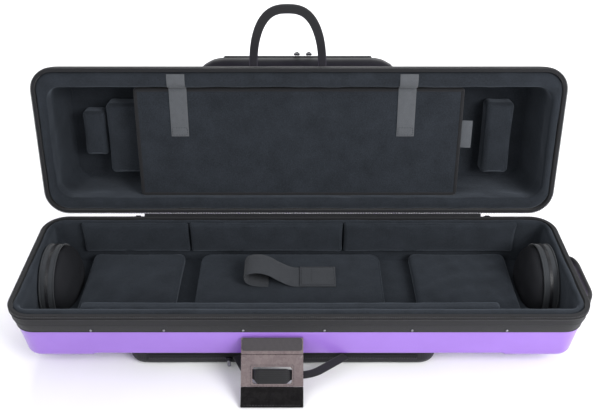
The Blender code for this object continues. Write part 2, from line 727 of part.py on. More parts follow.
def add_pouch(name, ring_name, side):
    """Half-round mesh pouch on a tray's end wall: a zip ring and a dome, flat on the floor."""
    ring_radius = POUCH_RADIUS + POUCH_RING_OVERHANG
    centre_z = RIM_HEIGHT - POUCH_TOP - ring_radius
    floor = Vector((0, 0, TRAY_FLOOR + GAP))
    up = Vector((0, 0, 1))
    wall = CASE_LENGTH / 2 - max(TRAY_LIP_END, CAVITY_FOOT) - GAP
    ring = bmesh.new()
    bmesh.ops.create_cone(ring, cap_ends=True, segments=POUCH_SEGMENTS, radius1=ring_radius,
                          radius2=ring_radius, depth=POUCH_RING_WIDTH)
    turn = Matrix.Rotation(math.pi / 2, 4, "Y")
    ring_x = side * (wall - POUCH_RING_WIDTH / 2)
    ring.transform(Matrix.Translation((ring_x, POUCH_CENTRE_Y, centre_z)) @ turn)
    trim_below(ring, floor, up)
    add_piece(ring_name, to_mesh(ring), "grey_tape")
    dome = bmesh.new()
    bmesh.ops.create_uvsphere(dome, u_segments=POUCH_SEGMENTS, v_segments=POUCH_RINGS, radius=1)
    size = Matrix.Diagonal((POUCH_BULGE, POUCH_RADIUS, POUCH_RADIUS, 1))
    dome_x = side * (wall - POUCH_RING_WIDTH - GAP)
    dome.transform(Matrix.Translation((dome_x, POUCH_CENTRE_Y, centre_z)) @ size @ turn)
    trim_below(dome, Vector((dome_x, 0, 0)), Vector((-side, 0, 0)))
    trim_below(dome, floor, up)
    add_piece(name, to_mesh(dome), "mesh")


def add_rivets():
    """Round rivets through the band, above its lower edge, along the front."""
    height = RIM_HEIGHT - BAND_BOTTOM_DEPTH + RIVET_RISE
    inset = BAND_DRAFT * (BAND_HEIGHT - RIVET_RISE - RIVET_RADIUS) / BAND_HEIGHT
    face = inset - CASE_WIDTH / 2 - GAP
    for number, share in enumerate(RIVET_SHARES, start=1):
        x = share * CASE_LENGTH
        rivet = bmesh.new()
        bmesh.ops.create_cone(rivet, cap_ends=True, segments=RIVET_SIDES, radius1=RIVET_RADIUS,
                              radius2=RIVET_RADIUS / 2, depth=RIVET_HEIGHT)
        turn = Matrix.Rotation(math.pi / 2, 4, "X")
        rivet.transform(Matrix.Translation((x, face - RIVET_HEIGHT / 2, height)) @ turn)
        add_piece(f"tray_rivet_{number}", to_mesh(rivet), "metal")


def add_welt():
    """Cloth welt along the hinge line, sewn to the tray's zip tape."""
    welt = bmesh.new()
    bmesh.ops.create_cone(welt, cap_ends=True, segments=RIVET_SIDES, radius1=WELT_RADIUS,
                          radius2=WELT_RADIUS, depth=WELT_RIGHT - WELT_LEFT)
    turn = Matrix.Rotation(math.pi / 2, 4, "Y")
    middle = Vector(((WELT_LEFT + WELT_RIGHT) / 2, HINGE.y, HINGE.z))
    welt.transform(Matrix.Translation(middle) @ turn)
    add_piece("hinge_welt", to_mesh(welt), "nylon")


def rounded_path(corners, radius):
    """Path through corners, each cut by a curve that starts and ends a radius away."""
    path = [corners[0]]
    for before, corner, after in zip(corners, corners[1:], corners[2:]):
        start = corner + (before - corner).normalized() * min(radius, (before - corner).length / 2)
        end = corner + (after - corner).normalized() * min(radius, (after - corner).length / 2)
        for step in range(HANDLE_STEPS + 1):
            t = step / HANDLE_STEPS
            path.append(start * (1 - t) ** 2 + corner * 2 * t * (1 - t) + end * t ** 2)
    path.append(corners[-1])
    return path


def handle_mesh(corners, radius, normal, half_width, half_thickness, taper):
    """Oval handle along a flat path; its round ends fit its hinge line and widen by the taper."""
    path = rounded_path(corners, radius)
    out = (corners[1] - corners[0]).normalized()
    stations = []
    for point in path:
        reach = (point - corners[0]).dot(out)
        stations.append((point, min(half_width, HANDLE_PIVOT_RADIUS + taper * reach)))
    for share in NOSE_SHARES:
        drop = out * HANDLE_PIVOT_RADIUS * math.sin(share * math.pi / 2)
        width = HANDLE_PIVOT_RADIUS * math.cos(share * math.pi / 2)
        stations.insert(0, (corners[0] - drop, width))
        stations.append((corners[-1] - drop, width))
    rings = []
    for index, (point, width) in enumerate(stations):
        before = stations[max(index - 1, 0)][0]
        after = stations[min(index + 1, len(stations) - 1)][0]
        across = (after - before).normalized().cross(normal)
        ring = []
        for step in range(HANDLE_SIDES):
            angle = 2 * math.pi * step / HANDLE_SIDES
            ring.append(point + normal * width * math.cos(angle) + across * half_thickness * math.sin(angle))
        rings.append(ring)
    return loft(rings)


def wall_face(depth, total_depth, draft):
    """Distance that a shell's wall stands in from the case's outline, just clear of it."""
    return wall_inset(depth, total_depth, draft) - GAP


def add_lid_handle(frame):
    """Flat webbing carrying handle, its hinge line just off the lid's sloping front wall."""
    slope = math.atan2(LID_WALL_DRAFT, LID_DEPTH - EDGE_RADIUS - BAND_BOTTOM_DEPTH - GAP)
    inset = wall_inset(LID_HANDLE_DEPTH, LID_DEPTH, LID_WALL_DRAFT)
    y = inset - CASE_WIDTH / 2 - (HANDLE_PIVOT_RADIUS + GAP) / math.cos(slope)
    z = RIM_HEIGHT + LID_HANDLE_DEPTH
    reach = y - LID_HANDLE_REACH
    left = LID_HANDLE_SHARE * CASE_LENGTH - LID_HANDLE_SPAN / 2
    right = left + LID_HANDLE_SPAN
    corners = [Vector(place) for place in ((left, y, z), (left, reach, z), (right, reach, z), (right, y, z))]
    mesh = handle_mesh(corners, LID_HANDLE_CORNER, Vector((0, 0, 1)), HANDLE_PIVOT_RADIUS,
                       LID_HANDLE_HALF_THICKNESS, 0)
    add_piece("lid_handle", mesh, "webbing", pivot=Vector(((left + right) / 2, y, z)), frame=frame)


def add_end_handle():
    """Padded handle on the tray's right end."""
    x = CASE_LENGTH / 2 - wall_face(END_HANDLE_DEPTH, TRAY_DEPTH, TRAY_WALL_DRAFT) + HANDLE_PIVOT_RADIUS
    z = RIM_HEIGHT - END_HANDLE_DEPTH
    reach = x + END_HANDLE_REACH
    span = END_HANDLE_HALF_SPAN
    corners = [Vector(place) for place in ((x, -span, z), (reach, -span, z), (reach, span, z), (x, span, z))]
    mesh = handle_mesh(corners, END_HANDLE_CORNER, Vector((0, 0, 1)), END_HANDLE_HALF_WIDTH,
                       END_HANDLE_HALF_THICKNESS, END_HANDLE_TAPER)
    add_piece("end_handle", mesh, "webbing", pivot=Vector((x, 0, z)))


def tray_handle_pivot():
    """Point in Y and Z of the tray handle's hinge line, under the shell's rounded front edge."""
    turn = TRAY_HANDLE_PIVOT_ANGLE
    reach = EDGE_RADIUS + GAP + HANDLE_PIVOT_RADIUS
    centre_y = LEDGE_SET + BAND_DRAFT + TRAY_WALL_DRAFT + EDGE_RADIUS - CASE_WIDTH / 2
    centre_z = RIM_HEIGHT - TRAY_DEPTH + EDGE_RADIUS
    return centre_y - reach * math.cos(turn), centre_z - reach * math.sin(turn)


def wrap_foot():
    """Point where the wrap's back face meets the ground line, its top edge touching the shell."""
    top_z = WRAP_FOOT_Z + WRAP_LENGTH * math.sin(WRAP_LEAN)
    wall = wall_face(RIM_HEIGHT - top_z, TRAY_DEPTH, TRAY_WALL_DRAFT) - CASE_WIDTH / 2
    return Vector((WRAP_MIDDLE_X, wall - WRAP_LENGTH * math.cos(WRAP_LEAN), WRAP_FOOT_Z))


def wrap_directions():
    """Directions up the wrap and out of its front face."""
    up = Vector((0, math.cos(WRAP_LEAN), math.sin(WRAP_LEAN)))
    front = Vector((0, -math.sin(WRAP_LEAN), math.cos(WRAP_LEAN)))
    return up, front


def grip_centre():
    """Middle of the handle's grip, level with its hinge line and behind the wrap."""
    pivot_z = tray_handle_pivot()[1]
    foot = wrap_foot()
    sine = math.sin(WRAP_LEAN)
    cosine = math.cos(WRAP_LEAN)
    support = math.hypot(HANDLE_HALF_WIDTH * sine, HANDLE_HALF_THICKNESS * cosine)
    y = foot.y + (support + GAP + (pivot_z - foot.z) * cosine) / sine
    return Vector((WRAP_MIDDLE_X, y, pivot_z))


def tray_handle_origin():
    """Origin of the tray handle's body on its hinge line."""
    y, z = tray_handle_pivot()
    return Vector((TRAY_HANDLE_SHARE * CASE_LENGTH, y, z))


def add_tray_handle():
    """Webbing handle that comes out from under the tray and runs behind the wrap."""
    y, z = tray_handle_pivot()
    grip_y = grip_centre().y
    straight = y - TRAY_HANDLE_STRAIGHT
    left, right = TRAY_HANDLE_LEFT, TRAY_HANDLE_RIGHT
    grip_left = left + TRAY_HANDLE_LEFT_STEP
    grip_right = right - TRAY_HANDLE_RIGHT_STEP
    corners = [Vector((x, place, z)) for x, place in (
        (left, y), (left, straight), (grip_left, grip_y), (grip_right, grip_y), (right, straight), (right, y),
    )]
    mesh = handle_mesh(corners, TRAY_HANDLE_CORNER, Vector((0, 0, 1)), HANDLE_HALF_THICKNESS,
                       HANDLE_HALF_WIDTH, 0)
    add_piece("tray_handle", mesh, "webbing", pivot=tray_handle_origin())


def wrap_sheet(low_rise, high_rise, half_width, thickness, back):
    """Box in the wrap's plane between two heights up it, its back face off the wrap's back."""
    up, front = wrap_directions()
    shape = box_shape((-half_width, low_rise, back), (half_width, high_rise, back + thickness))
    frame = Matrix((
        (1, up.x, front.x, 0),
        (0, up.y, front.y, 0),
        (0, up.z, front.z, 0),
        (0, 0, 0, 1),
    ))
    shape.transform(Matrix.Translation(wrap_foot()) @ frame)
    return shape


def wrap_point(rise, out):
    """Point on the wrap's middle line, a height up it and a distance in front of its back."""
    up, front = wrap_directions()
    return wrap_foot() + up * rise + front * out


def add_wrap():
    """Leather wrap in three leaves, folding at two seams, with a window over the grip."""
    half = WRAP_WIDTH / 2
    middle = add_piece(
        "wrap_middle",
        to_mesh(wrap_sheet(WRAP_FOLD_LOW, WRAP_FOLD_HIGH, half, WRAP_THICKNESS, 0)),
        "leather",
        pivot=tray_handle_origin(),
    )
    rise = (grip_centre() - wrap_foot()).dot(wrap_directions()[0])
    low = rise - WRAP_WINDOW_HEIGHT / 2
    window = wrap_sheet(low, low + WRAP_WINDOW_HEIGHT, WRAP_WINDOW_WIDTH / 2, 2 * WRAP_THICKNESS,
                        -WRAP_THICKNESS / 2)
    cutter = bpy.data.objects.new("window_cutter", to_mesh(window))
    cutters.objects.link(cutter)
    cutter.hide_render = True
    cutter.display_type = "WIRE"
    cut = middle.modifiers.new("Window", "BOOLEAN")
    cut.operation = "DIFFERENCE"
    cut.object = cutter
    lower = wrap_sheet(0, WRAP_FOLD_LOW - GAP, half, WRAP_THICKNESS, 0)
    add_piece("wrap_lower", to_mesh(lower), "leather",
              pivot=wrap_point(WRAP_FOLD_LOW - GAP / 2, WRAP_THICKNESS))
    pivot = wrap_point(WRAP_FOLD_HIGH + GAP / 2, WRAP_THICKNESS)
    upper = wrap_sheet(WRAP_FOLD_HIGH + GAP, WRAP_LENGTH, half, WRAP_THICKNESS, 0)
    add_piece("wrap_upper", to_mesh(upper), "leather", pivot=pivot)
    top = WRAP_LENGTH - HOOK_STRIP_MARGIN
    hooks = wrap_sheet(top - HOOK_STRIP_HEIGHT, top, half - HOOK_STRIP_MARGIN, HOOK_STRIP_THICKNESS,
                       WRAP_THICKNESS + GAP)
    add_piece("wrap_hook_strip", to_mesh(hooks), "webbing", pivot=pivot)


def pocket_rings(low, high, corner, outline):
    """Rings of a soft pocket from insets and heights."""
    rings = []
    for inset, height in outline:
        step = Vector((inset, inset))
        rings.append(rounded_rectangle(Vector(low) + step, Vector(high) - step, corner - inset / 2, height))
    return rings


def add_base_pocket():
    """Padded pocket under the tray, which the case stands on, with its zip along the front."""
    top = TRAY_BOTTOM - GAP
    outline = (
        (POCKET_EDGE, 0),
        (POCKET_EDGE / 4, POCKET_EDGE / 2),
        (0, top / 2),
        (POCKET_EDGE / 4, top - POCKET_EDGE / 2),
        (POCKET_EDGE, top),
    )
    rings = pocket_rings((POCKET_LEFT, POCKET_FRONT), (POCKET_RIGHT, POCKET_BACK), POCKET_CORNER, outline)
    add_piece("base_pocket", loft(rings), "nylon")


def zip_bar(left, right, y, z):
    """Straight zip: a thin round-edged bar in front of a pocket's face."""
    radius = POCKET_ZIP_RADIUS
    low = (left, y - 2 * radius, z - radius)
    high = (right, y, z + radius)
    return rounded_box(low, high, radius / 2, 1)


def slider_and_pull(name, x, y, z, side, length, frame=None):
    """Zip slider and the pull that hangs from it; side tells which way they face in Y."""
    half = Vector((SLIDER_LENGTH / 2, 0, SLIDER_HEIGHT / 2))
    depth = Vector((0, side * SLIDER_DEPTH, 0))
    face = Vector((x, y + side * GAP, z))
    corners = (face - half, face + half + depth)
    low = [min(a, b) for a, b in zip(*corners)]
    high = [max(a, b) for a, b in zip(*corners)]
    add_piece(f"{name}_slider", rounded_box(low, high, SLIDER_DEPTH / 4, 1), "black_metal",
              pivot=face, frame=frame)
    radius = PULL_THICKNESS / 2
    hinge = face + depth + Vector((0, side * (GAP + radius), 0))
    low = (x - PULL_WIDTH / 2, hinge.y - radius, z - length)
    high = (x + PULL_WIDTH / 2, hinge.y + radius, z + radius)
    pull = rounded_box(low, high, PULL_THICKNESS * PULL_ROUND_SHARE)
    add_piece(f"{name}_pull", pull, "metal", pivot=hinge, frame=frame)


def add_zips(frame):
    """Pocket zips and all sliders with their pulls."""
    base_z = POCKET_ZIP_SHARE * POCKET_DEPTH
    slider_x = POCKET_LEFT + POCKET_SLIDER_SHARE * (POCKET_RIGHT - POCKET_LEFT)
    add_piece("base_pocket_zip", zip_bar(POCKET_LEFT + POCKET_ZIP_MARGIN, POCKET_RIGHT - POCKET_ZIP_MARGIN,
                                         POCKET_FRONT - GAP, base_z), "nylon")
    slider_and_pull("base_pocket", slider_x, POCKET_FRONT - GAP - 2 * POCKET_ZIP_RADIUS, base_z, -1,
                    PULL_LENGTH_BASE)
    main_places = (WELT_LEFT - MAIN_SLIDER_GAP, WELT_RIGHT + MAIN_SLIDER_GAP)
    for name, x in zip(("main_left", "main_right"), main_places):
        z = RIM_HEIGHT - RIM_GAP - SLIDER_HEIGHT / 2
        slider_and_pull(name, x, CASE_WIDTH / 2, z, 1, PULL_LENGTH)
    lid_y = LID_POCKET_FRONT - GAP
    lid_z = LID_TOP + GAP + LID_POCKET_ZIP_RISE
    add_piece("lid_pocket_zip", zip_bar(LID_POCKET_LEFT + LID_POCKET_CORNER,
                                        LID_POCKET_RIGHT - LID_POCKET_CORNER, lid_y, lid_z),
              "nylon", frame=frame)
    middle = LID_POCKET_LEFT + LID_POCKET_SLIDER_SHARE * (LID_POCKET_RIGHT - LID_POCKET_LEFT)
    half_span = LID_POCKET_SLIDER_SPAN / 2
    places = (middle - half_span, middle + half_span)
    for name, x in zip(("lid_pocket_left", "lid_pocket_right"), places):
        slider_and_pull(name, x, lid_y - 2 * POCKET_ZIP_RADIUS, lid_z, -1, PULL_LENGTH_LID, frame)


def add_lid_pocket(frame):
    """Padded pocket on the lid's broad face."""
    bottom = LID_TOP + GAP
    top = bottom + LID_POCKET_HEIGHT
    rise = LID_POCKET_HEIGHT * POCKET_SHOULDER_SHARE
    outline = (
        (0, bottom),
        (0, top - rise),
        (LID_POCKET_SHOULDER / 4, top - rise / 3),
        (LID_POCKET_SHOULDER, top),
    )
    rings = pocket_rings((LID_POCKET_LEFT, LID_POCKET_FRONT), (LID_POCKET_RIGHT, LID_POCKET_BACK),
                         LID_POCKET_CORNER, outline)
    add_piece("lid_pocket", loft(rings), "nylon", frame=frame)


def panel_pivot():
    """Point on the panel's hinge line, in the middle of its rounded back edge."""
    return Vector((0, PANEL_BACK - PANEL_THICKNESS / 2, PANEL_FACE + PANEL_THICKNESS / 2))


def lip_point(angle, clearance):
    """Y and Z of a point a clearance off the lid's front lip, by the angle round it from its outside."""
    half_width = (LID_LIP_FRONT - LINING_SET) / 2
    out_y = -math.cos(angle) / half_width
    out_z = -math.sin(angle) / LIP_ROUND
    scale = clearance / math.hypot(out_y, out_z)
    y = LINING_SET + half_width * (1 - math.cos(angle)) - CASE_WIDTH / 2
    z = RIM_HEIGHT + LIP_TOP + LIP_ROUND * (1 - math.sin(angle))
    return y + out_y * scale, z + out_z * scale


def add_lid_panel(frame):
    """Hinged panel over the lid's storage, its two straps and a small blank tab behind its edge."""
    low = (-PANEL_HALF_LENGTH, PANEL_FRONT, PANEL_FACE)
    high = (PANEL_HALF_LENGTH, PANEL_BACK, PANEL_FACE + PANEL_THICKNESS)
    mesh = rounded_box(low, high, PANEL_THICKNESS * PANEL_ROUND_SHARE, 3)
    add_piece("lid_panel", mesh, "plush", pivot=panel_pivot(), frame=frame)
    face = PANEL_FACE - GAP - LID_STRAP_THICKNESS / 2
    angles = [math.pi * (1 - step / (2 * ARC_STEPS)) for step in range(LID_STRAP_WRAP_STEPS + 1)]
    wrap = [lip_point(angle, GAP + LID_STRAP_THICKNESS / 2) for angle in angles]
    wall, wrap_start = wrap[0]
    for name, share in zip(("lid_strap_left", "lid_strap_right"), LID_STRAP_SHARES):
        x = share * PANEL_HALF_LENGTH
        corners = (
            Vector((x, PANEL_FRONT + LID_STRAP_REACH, face)),
            Vector((x, wall, face)),
            Vector((x, wall, wrap_start)),
        )
        route = rounded_path(corners, LID_STRAP_BEND) + [Vector((x, y, z)) for y, z in wrap[1:]]
        add_ribbon(name, route, (1, 0, 0), LID_STRAP_WIDTH, LID_STRAP_THICKNESS, "grey_webbing",
                   pivot=panel_pivot(), frame=frame)
    back = PANEL_FACE + PANEL_THICKNESS + GAP
    left = PANEL_HALF_LENGTH - LID_TAB_OVERLAP
    front = PANEL_FRONT + LID_TAB_SETBACK
    low = (left, front, back)
    high = (left + LID_TAB_LENGTH, front + LID_TAB_WIDTH, back + LID_TAB_THICKNESS)
    add_piece("lid_tab", to_mesh(box_shape(low, high)), "grey_webbing", pivot=panel_pivot(), frame=frame)


def add_lid_blocks(frame):
    """Foam blocks that stand on the lid's floor."""
    inner_end = CASE_LENGTH / 2 - LID_LIP_END
    inner_front = LID_LIP_FRONT - CASE_WIDTH / 2
    inner_back = CASE_WIDTH / 2 - LID_LIP_BACK
    small_left = LID_BLOCK_LEFT_GAP - inner_end
    large_left = small_left + SMALL_BLOCK_LENGTH + LID_BLOCK_SEAM
    right_left = inner_end - LID_BLOCK_RIGHT_GAP - RIGHT_BLOCK_LENGTH
    blocks = (
        ("lid_block_small", small_left, SMALL_BLOCK_LENGTH, SMALL_BLOCK_FRONT_GAP, SMALL_BLOCK_BACK_GAP,
         SMALL_BLOCK_FACE),
        ("lid_block_large", large_left, LARGE_BLOCK_LENGTH, LARGE_BLOCK_FRONT_GAP, LARGE_BLOCK_BACK_GAP,
         LARGE_BLOCK_FACE),
        ("lid_block_right", right_left, RIGHT_BLOCK_LENGTH, LARGE_BLOCK_FRONT_GAP, RIGHT_BLOCK_BACK_GAP,
         RIGHT_BLOCK_FACE),
    )
    floor = RIM_HEIGHT + LID_CAVITY_DEPTH - GAP
    for name, left, length, front_gap, back_gap, face in blocks:
        low = (left, inner_front + front_gap, RIM_HEIGHT + face)
        high = (left + length, inner_back - back_gap, floor)
        add_pad(name, low, high, 2, -1, LID_BLOCK_CROWN, frame)


def make_lid_frame():
    """Empty on the hinge line that holds the lid's pieces open."""
    frame = bpy.data.objects.new("lid_frame", None)
    frame.location = HINGE
    frame.rotation_euler = (-LID_OPEN_ANGLE, 0, 0)
    case_pieces.objects.link(frame)
    return frame


def build_tray():
    """Everything that stays with the tray."""
    cut_feet(add_shell("tray_shell", TRAY_SIDE, TRAY_DEPTH, SHELL_FLOOR, TRAY_WALL_DRAFT))
    add_band("tray_band", TRAY_SIDE)
    add_zip_half("tray_zip", TRAY_SIDE)
    lips = (TRAY_LIP_END, TRAY_LIP_FRONT, TRAY_LIP_BACK)
    feet = [max(lip, CAVITY_FOOT) for lip in lips]
    add_lining("tray_lining", TRAY_SIDE, TRAY_DEPTH, SHELL_FLOOR, TRAY_WALL_DRAFT, TRAY_CAVITY_DEPTH,
               TRAY_FOOT_RISE, lips, feet, TRAY_CAVITY_RADIUS)
    add_tray_pads()
    add_floor_blocks()
    add_accessory_box()
    add_accessory_flap()
    add_holding_strap()
    add_front_tabs()
    add_pouch("pouch_left", "pouch_ring_left", -1)
    add_pouch("pouch_right", "pouch_ring_right", 1)
    add_rivets()
    add_welt()
    add_base_pocket()
    add_tray_handle()
    add_wrap()
    add_end_handle()


def build_lid(frame):
    """Everything that turns with the lid."""
    add_shell("lid_shell", LID_SIDE, LID_DEPTH, SHELL_WALL, LID_WALL_DRAFT, frame)
    add_band("lid_band", LID_SIDE, frame)
    add_zip_half("lid_zip", LID_SIDE, frame)
    lips = (LID_LIP_END, LID_LIP_FRONT, LID_LIP_BACK)
    feet = (LID_FOOT_END, LID_FOOT_FRONT, LID_FOOT_BACK)
    add_lining("lid_lining", LID_SIDE, LID_DEPTH, SHELL_WALL, LID_WALL_DRAFT, LID_CAVITY_DEPTH,
               LID_FOOT_RISE, lips, feet, LID_CAVITY_RADIUS, frame)
    add_lid_panel(frame)
    add_lid_blocks(frame)
    add_lid_handle(frame)
    add_lid_pocket(frame)


clear_scene()
case_pieces = make_collection("trombone_case")
cutters = make_collection("cutters")
lid_frame = make_lid_frame()
build_tray()
build_lid(lid_frame)
add_zips(lid_frame)
bpy.context.view_layer.update()
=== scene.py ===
"""Looks of the zipped trombone case: shells, cloth, plush, foam, webbing, leather and zips.

Metres throughout. Pieces of the lid are worked out as they lie in the closed case and are then
turned open about the lid's hinge. Every grid of points is a numpy array, and its UV map is in
metres along the cloth.
"""

import json
import math

import bmesh
import bpy
import numpy as np
from mathutils import Matrix, Vector

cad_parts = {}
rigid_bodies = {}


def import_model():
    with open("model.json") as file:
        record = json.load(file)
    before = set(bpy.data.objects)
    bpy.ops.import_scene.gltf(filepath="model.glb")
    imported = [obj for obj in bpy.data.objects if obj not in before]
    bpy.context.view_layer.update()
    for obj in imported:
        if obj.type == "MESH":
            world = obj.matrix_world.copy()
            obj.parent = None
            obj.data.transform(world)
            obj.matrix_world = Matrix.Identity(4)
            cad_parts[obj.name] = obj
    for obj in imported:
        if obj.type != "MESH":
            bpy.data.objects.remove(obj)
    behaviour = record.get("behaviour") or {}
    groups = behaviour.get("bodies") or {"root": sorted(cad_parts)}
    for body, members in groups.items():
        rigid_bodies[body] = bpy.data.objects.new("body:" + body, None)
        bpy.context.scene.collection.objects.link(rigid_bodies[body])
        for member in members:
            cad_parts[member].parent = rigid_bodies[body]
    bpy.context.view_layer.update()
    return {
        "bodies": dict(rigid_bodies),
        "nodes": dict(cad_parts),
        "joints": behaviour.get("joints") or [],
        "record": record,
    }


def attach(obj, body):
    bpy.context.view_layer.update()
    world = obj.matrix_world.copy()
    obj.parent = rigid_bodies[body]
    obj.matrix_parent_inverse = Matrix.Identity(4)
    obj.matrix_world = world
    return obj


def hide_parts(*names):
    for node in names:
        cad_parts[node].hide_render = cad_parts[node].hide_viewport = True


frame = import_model()

# Places read from the frame
JOINTS = {joint["name"]: joint for joint in frame["joints"]}
HINGE = np.array(JOINTS["lid_hinge"]["pos_m"])
OPEN_ANGLE = math.radians(-JOINTS["lid_hinge"]["range_deg"][0])
LID_BODIES = {"lid", "panel", "carry_handle"} | {name for name in frame["bodies"] if "lid_pocket" in name}
LID_TURN = (
    Matrix.Translation(Vector((0, HINGE[1], HINGE[2])))
    @ Matrix.Rotation(-OPEN_ANGLE, 4, "X")
    @ Matrix.Translation(Vector((0, -HINGE[1], -HINGE[2])))
)
GAP = 0.0003
UP = np.array([0.0, 0.0, 1.0])


def body_of_node(node):
    """Name of the body that carries a CAD node."""
    for body, members in frame["record"]["behaviour"]["bodies"].items():
        if node in members:
            return body
    return None


def node_points(node):
    """Vertices of a CAD node, turned back into the closed case if the lid carries it."""
    mesh = frame["nodes"][node].data
    points = np.empty(len(mesh.vertices) * 3, np.float32)
    mesh.vertices.foreach_get("co", points)
    points = points.reshape(-1, 3).astype(float)
    if body_of_node(node) in LID_BODIES:
        back = np.array(LID_TURN.inverted())
        points = points @ back[:3, :3].T + back[:3, 3]
    return points


def extent(node):
    """Lowest and highest corner of a CAD node in the closed case."""
    points = node_points(node)
    return points.min(axis=0), points.max(axis=0)


def box_of(node):
    """Lowest corner, highest corner, middle and size of a CAD node in the closed case."""
    low, high = extent(node)
    return low, high, (low + high) / 2, high - low


def points_at(x, y, z):
    """Points from their coordinates, each an array or one value for all."""
    return np.stack(np.broadcast_arrays(x, y, z), axis=-1)


# Colours and nodes
def linear(code):
    """Linear RGBA of an sRGB hex colour."""
    channels = [int(code[place:place + 2], 16) / 255 for place in (1, 3, 5)]
    return tuple(c / 12.92 if c <= 0.04045 else ((c + 0.055) / 1.055) ** 2.4 for c in channels) + (1,)


def add_node(tree, kind, inputs=None, **settings):
    """Add a node with its own settings and with inputs that are values or the sockets feeding them."""
    node = tree.nodes.new(kind)
    for name, value in settings.items():
        setattr(node, name, value)
    for key, value in (inputs or {}).items():
        if isinstance(value, bpy.types.NodeSocket):
            tree.links.new(value, node.inputs[key])
        else:
            node.inputs[key].default_value = value
    return node


def new_material(name, **shader_inputs):
    """A material with one Principled BSDF; returns it, its tree and the shader."""
    material = bpy.data.materials.new(name)
    material.use_nodes = True
    tree = material.node_tree
    shader = tree.nodes["Principled BSDF"]
    for key, value in shader_inputs.items():
        shader.inputs[key.replace("_", " ")].default_value = value
    return material, tree, shader


def two_tone(tree, shader, factor, codes, places=(0.35, 0.65), socket="Base Color"):
    """Feed a shader's input from a ramp between two hex colours, driven by a factor."""
    ramp = add_node(tree, "ShaderNodeValToRGB", {"Fac": factor})
    for element, code, place in zip(ramp.color_ramp.elements, codes, places):
        element.position = place
        element.color = linear(code)
    tree.links.new(ramp.outputs["Color"], shader.inputs[socket])


def add_bump(tree, shader, height, distance, strength=1.0, below=None):
    """Bump in metres on the shader, over another bump if one is given."""
    inputs = {"Height": height, "Distance": distance, "Strength": strength}
    if below:
        inputs["Normal"] = below
    bump = add_node(tree, "ShaderNodeBump", inputs)
    tree.links.new(bump.outputs["Normal"], shader.inputs["Normal"])
    return bump.outputs["Normal"]


def object_noise(tree, size, detail=3.0, roughness=0.6):
    """Noise on Object coordinates whose lumps are about a given size."""
    place = add_node(tree, "ShaderNodeTexCoord").outputs["Object"]
    noise = add_node(tree, "ShaderNodeTexNoise",
                     {"Vector": place, "Scale": 1 / size, "Detail": detail, "Roughness": roughness})
    return noise.outputs["Fac"]


def cloth_waves(tree, along, across):
    """Warp and weft as two bands waves on the UV map, from their thread spacings in metres."""
    cloth = add_node(tree, "ShaderNodeUVMap", uv_map="Cloth").outputs["UV"]
    waves = []
    for direction, spacing in (("X", along), ("Y", across)):
        # A bands wave repeats every pi / 10 at scale 1
        wave = add_node(tree, "ShaderNodeTexWave", {"Vector": cloth, "Scale": math.pi / 10 / spacing},
                        wave_type="BANDS", bands_direction=direction)
        waves.append(wave.outputs["Fac"])
    return waves


def mix_value(tree, kind, first, second):
    """One Math node on two values."""
    return add_node(tree, "ShaderNodeMath", {0: first, 1: second}, operation=kind).outputs["Value"]


def make_moulded_plastic():
    """Violet ABS, vacuum-formed: a satin skin, faintly rippled by the mould, that goes paler where lit."""
    material, tree, shader = new_material("violet moulded abs", Roughness=0.3, IOR=1.52, Coat_Weight=0.15,
                                          Coat_Roughness=0.2)
    two_tone(tree, shader, object_noise(tree, 0.12), ("#8d66c0", "#936dc7"))
    below = add_bump(tree, shader, object_noise(tree, 0.06, 0.0), 0.0003, 0.25)
    add_bump(tree, shader, object_noise(tree, 0.0012), 0.00003, 0.3, below)
    return material


def make_plush():
    """Charcoal plush, a cut pile about 1 mm deep: soft mottling where it is brushed, and a pale sheen."""
    material, tree, shader = new_material(
        "charcoal plush", Roughness=0.95, IOR=1.45, Specular_IOR_Level=0.15, Sheen_Weight=0.35,
        Sheen_Roughness=0.5, Sheen_Tint=linear("#9aa3b0"))
    brushed = object_noise(tree, 0.035, 5.0, 0.55)
    pile = object_noise(tree, 0.0016, 2.0, 0.7)
    mixed = mix_value(tree, "ADD", mix_value(tree, "MULTIPLY", brushed, 0.35),
                      mix_value(tree, "MULTIPLY", pile, 0.65))
    two_tone(tree, shader, mixed, ("#1a1d21", "#2a2e34"))
    below = add_bump(tree, shader, object_noise(tree, 0.012, 2.0), 0.001, 0.35)
    add_bump(tree, shader, pile, 0.0005, 0.7, below)
    return material


def make_woven(name, dark, light, along, across, relief, roughness=0.8):
    """Plain-woven cloth: threads over and under each other, from their spacings in metres."""
    material, tree, shader = new_material(name, Roughness=roughness, IOR=1.5, Specular_IOR_Level=0.25,
                                          Sheen_Weight=0.15, Sheen_Roughness=0.45)
    warp, weft = cloth_waves(tree, along, across)
    over = mix_value(tree, "MULTIPLY", warp, weft)
    worn = mix_value(tree, "MULTIPLY", object_noise(tree, 0.01, 4.0), 0.35)
    two_tone(tree, shader, mix_value(tree, "ADD", over, worn), (dark, light), (0.1, 0.95))
    add_bump(tree, shader, over, relief, 0.8)
    return material


def make_ribbed(name, dark, light, rib, pick, relief):
    """Webbing: ribs across the strap, crossed by finer threads, from their spacings in metres."""
    material, tree, shader = new_material(name, Roughness=0.75, IOR=1.5, Specular_IOR_Level=0.3,
                                          Sheen_Weight=0.2)
    ribs, picks = cloth_waves(tree, rib, pick)
    height = mix_value(tree, "ADD", mix_value(tree, "MULTIPLY", ribs, 0.7),
                       mix_value(tree, "MULTIPLY", picks, 0.3))
    two_tone(tree, shader, height, (dark, light), (0.1, 0.9))
    add_bump(tree, shader, height, relief, 0.8)
    return material


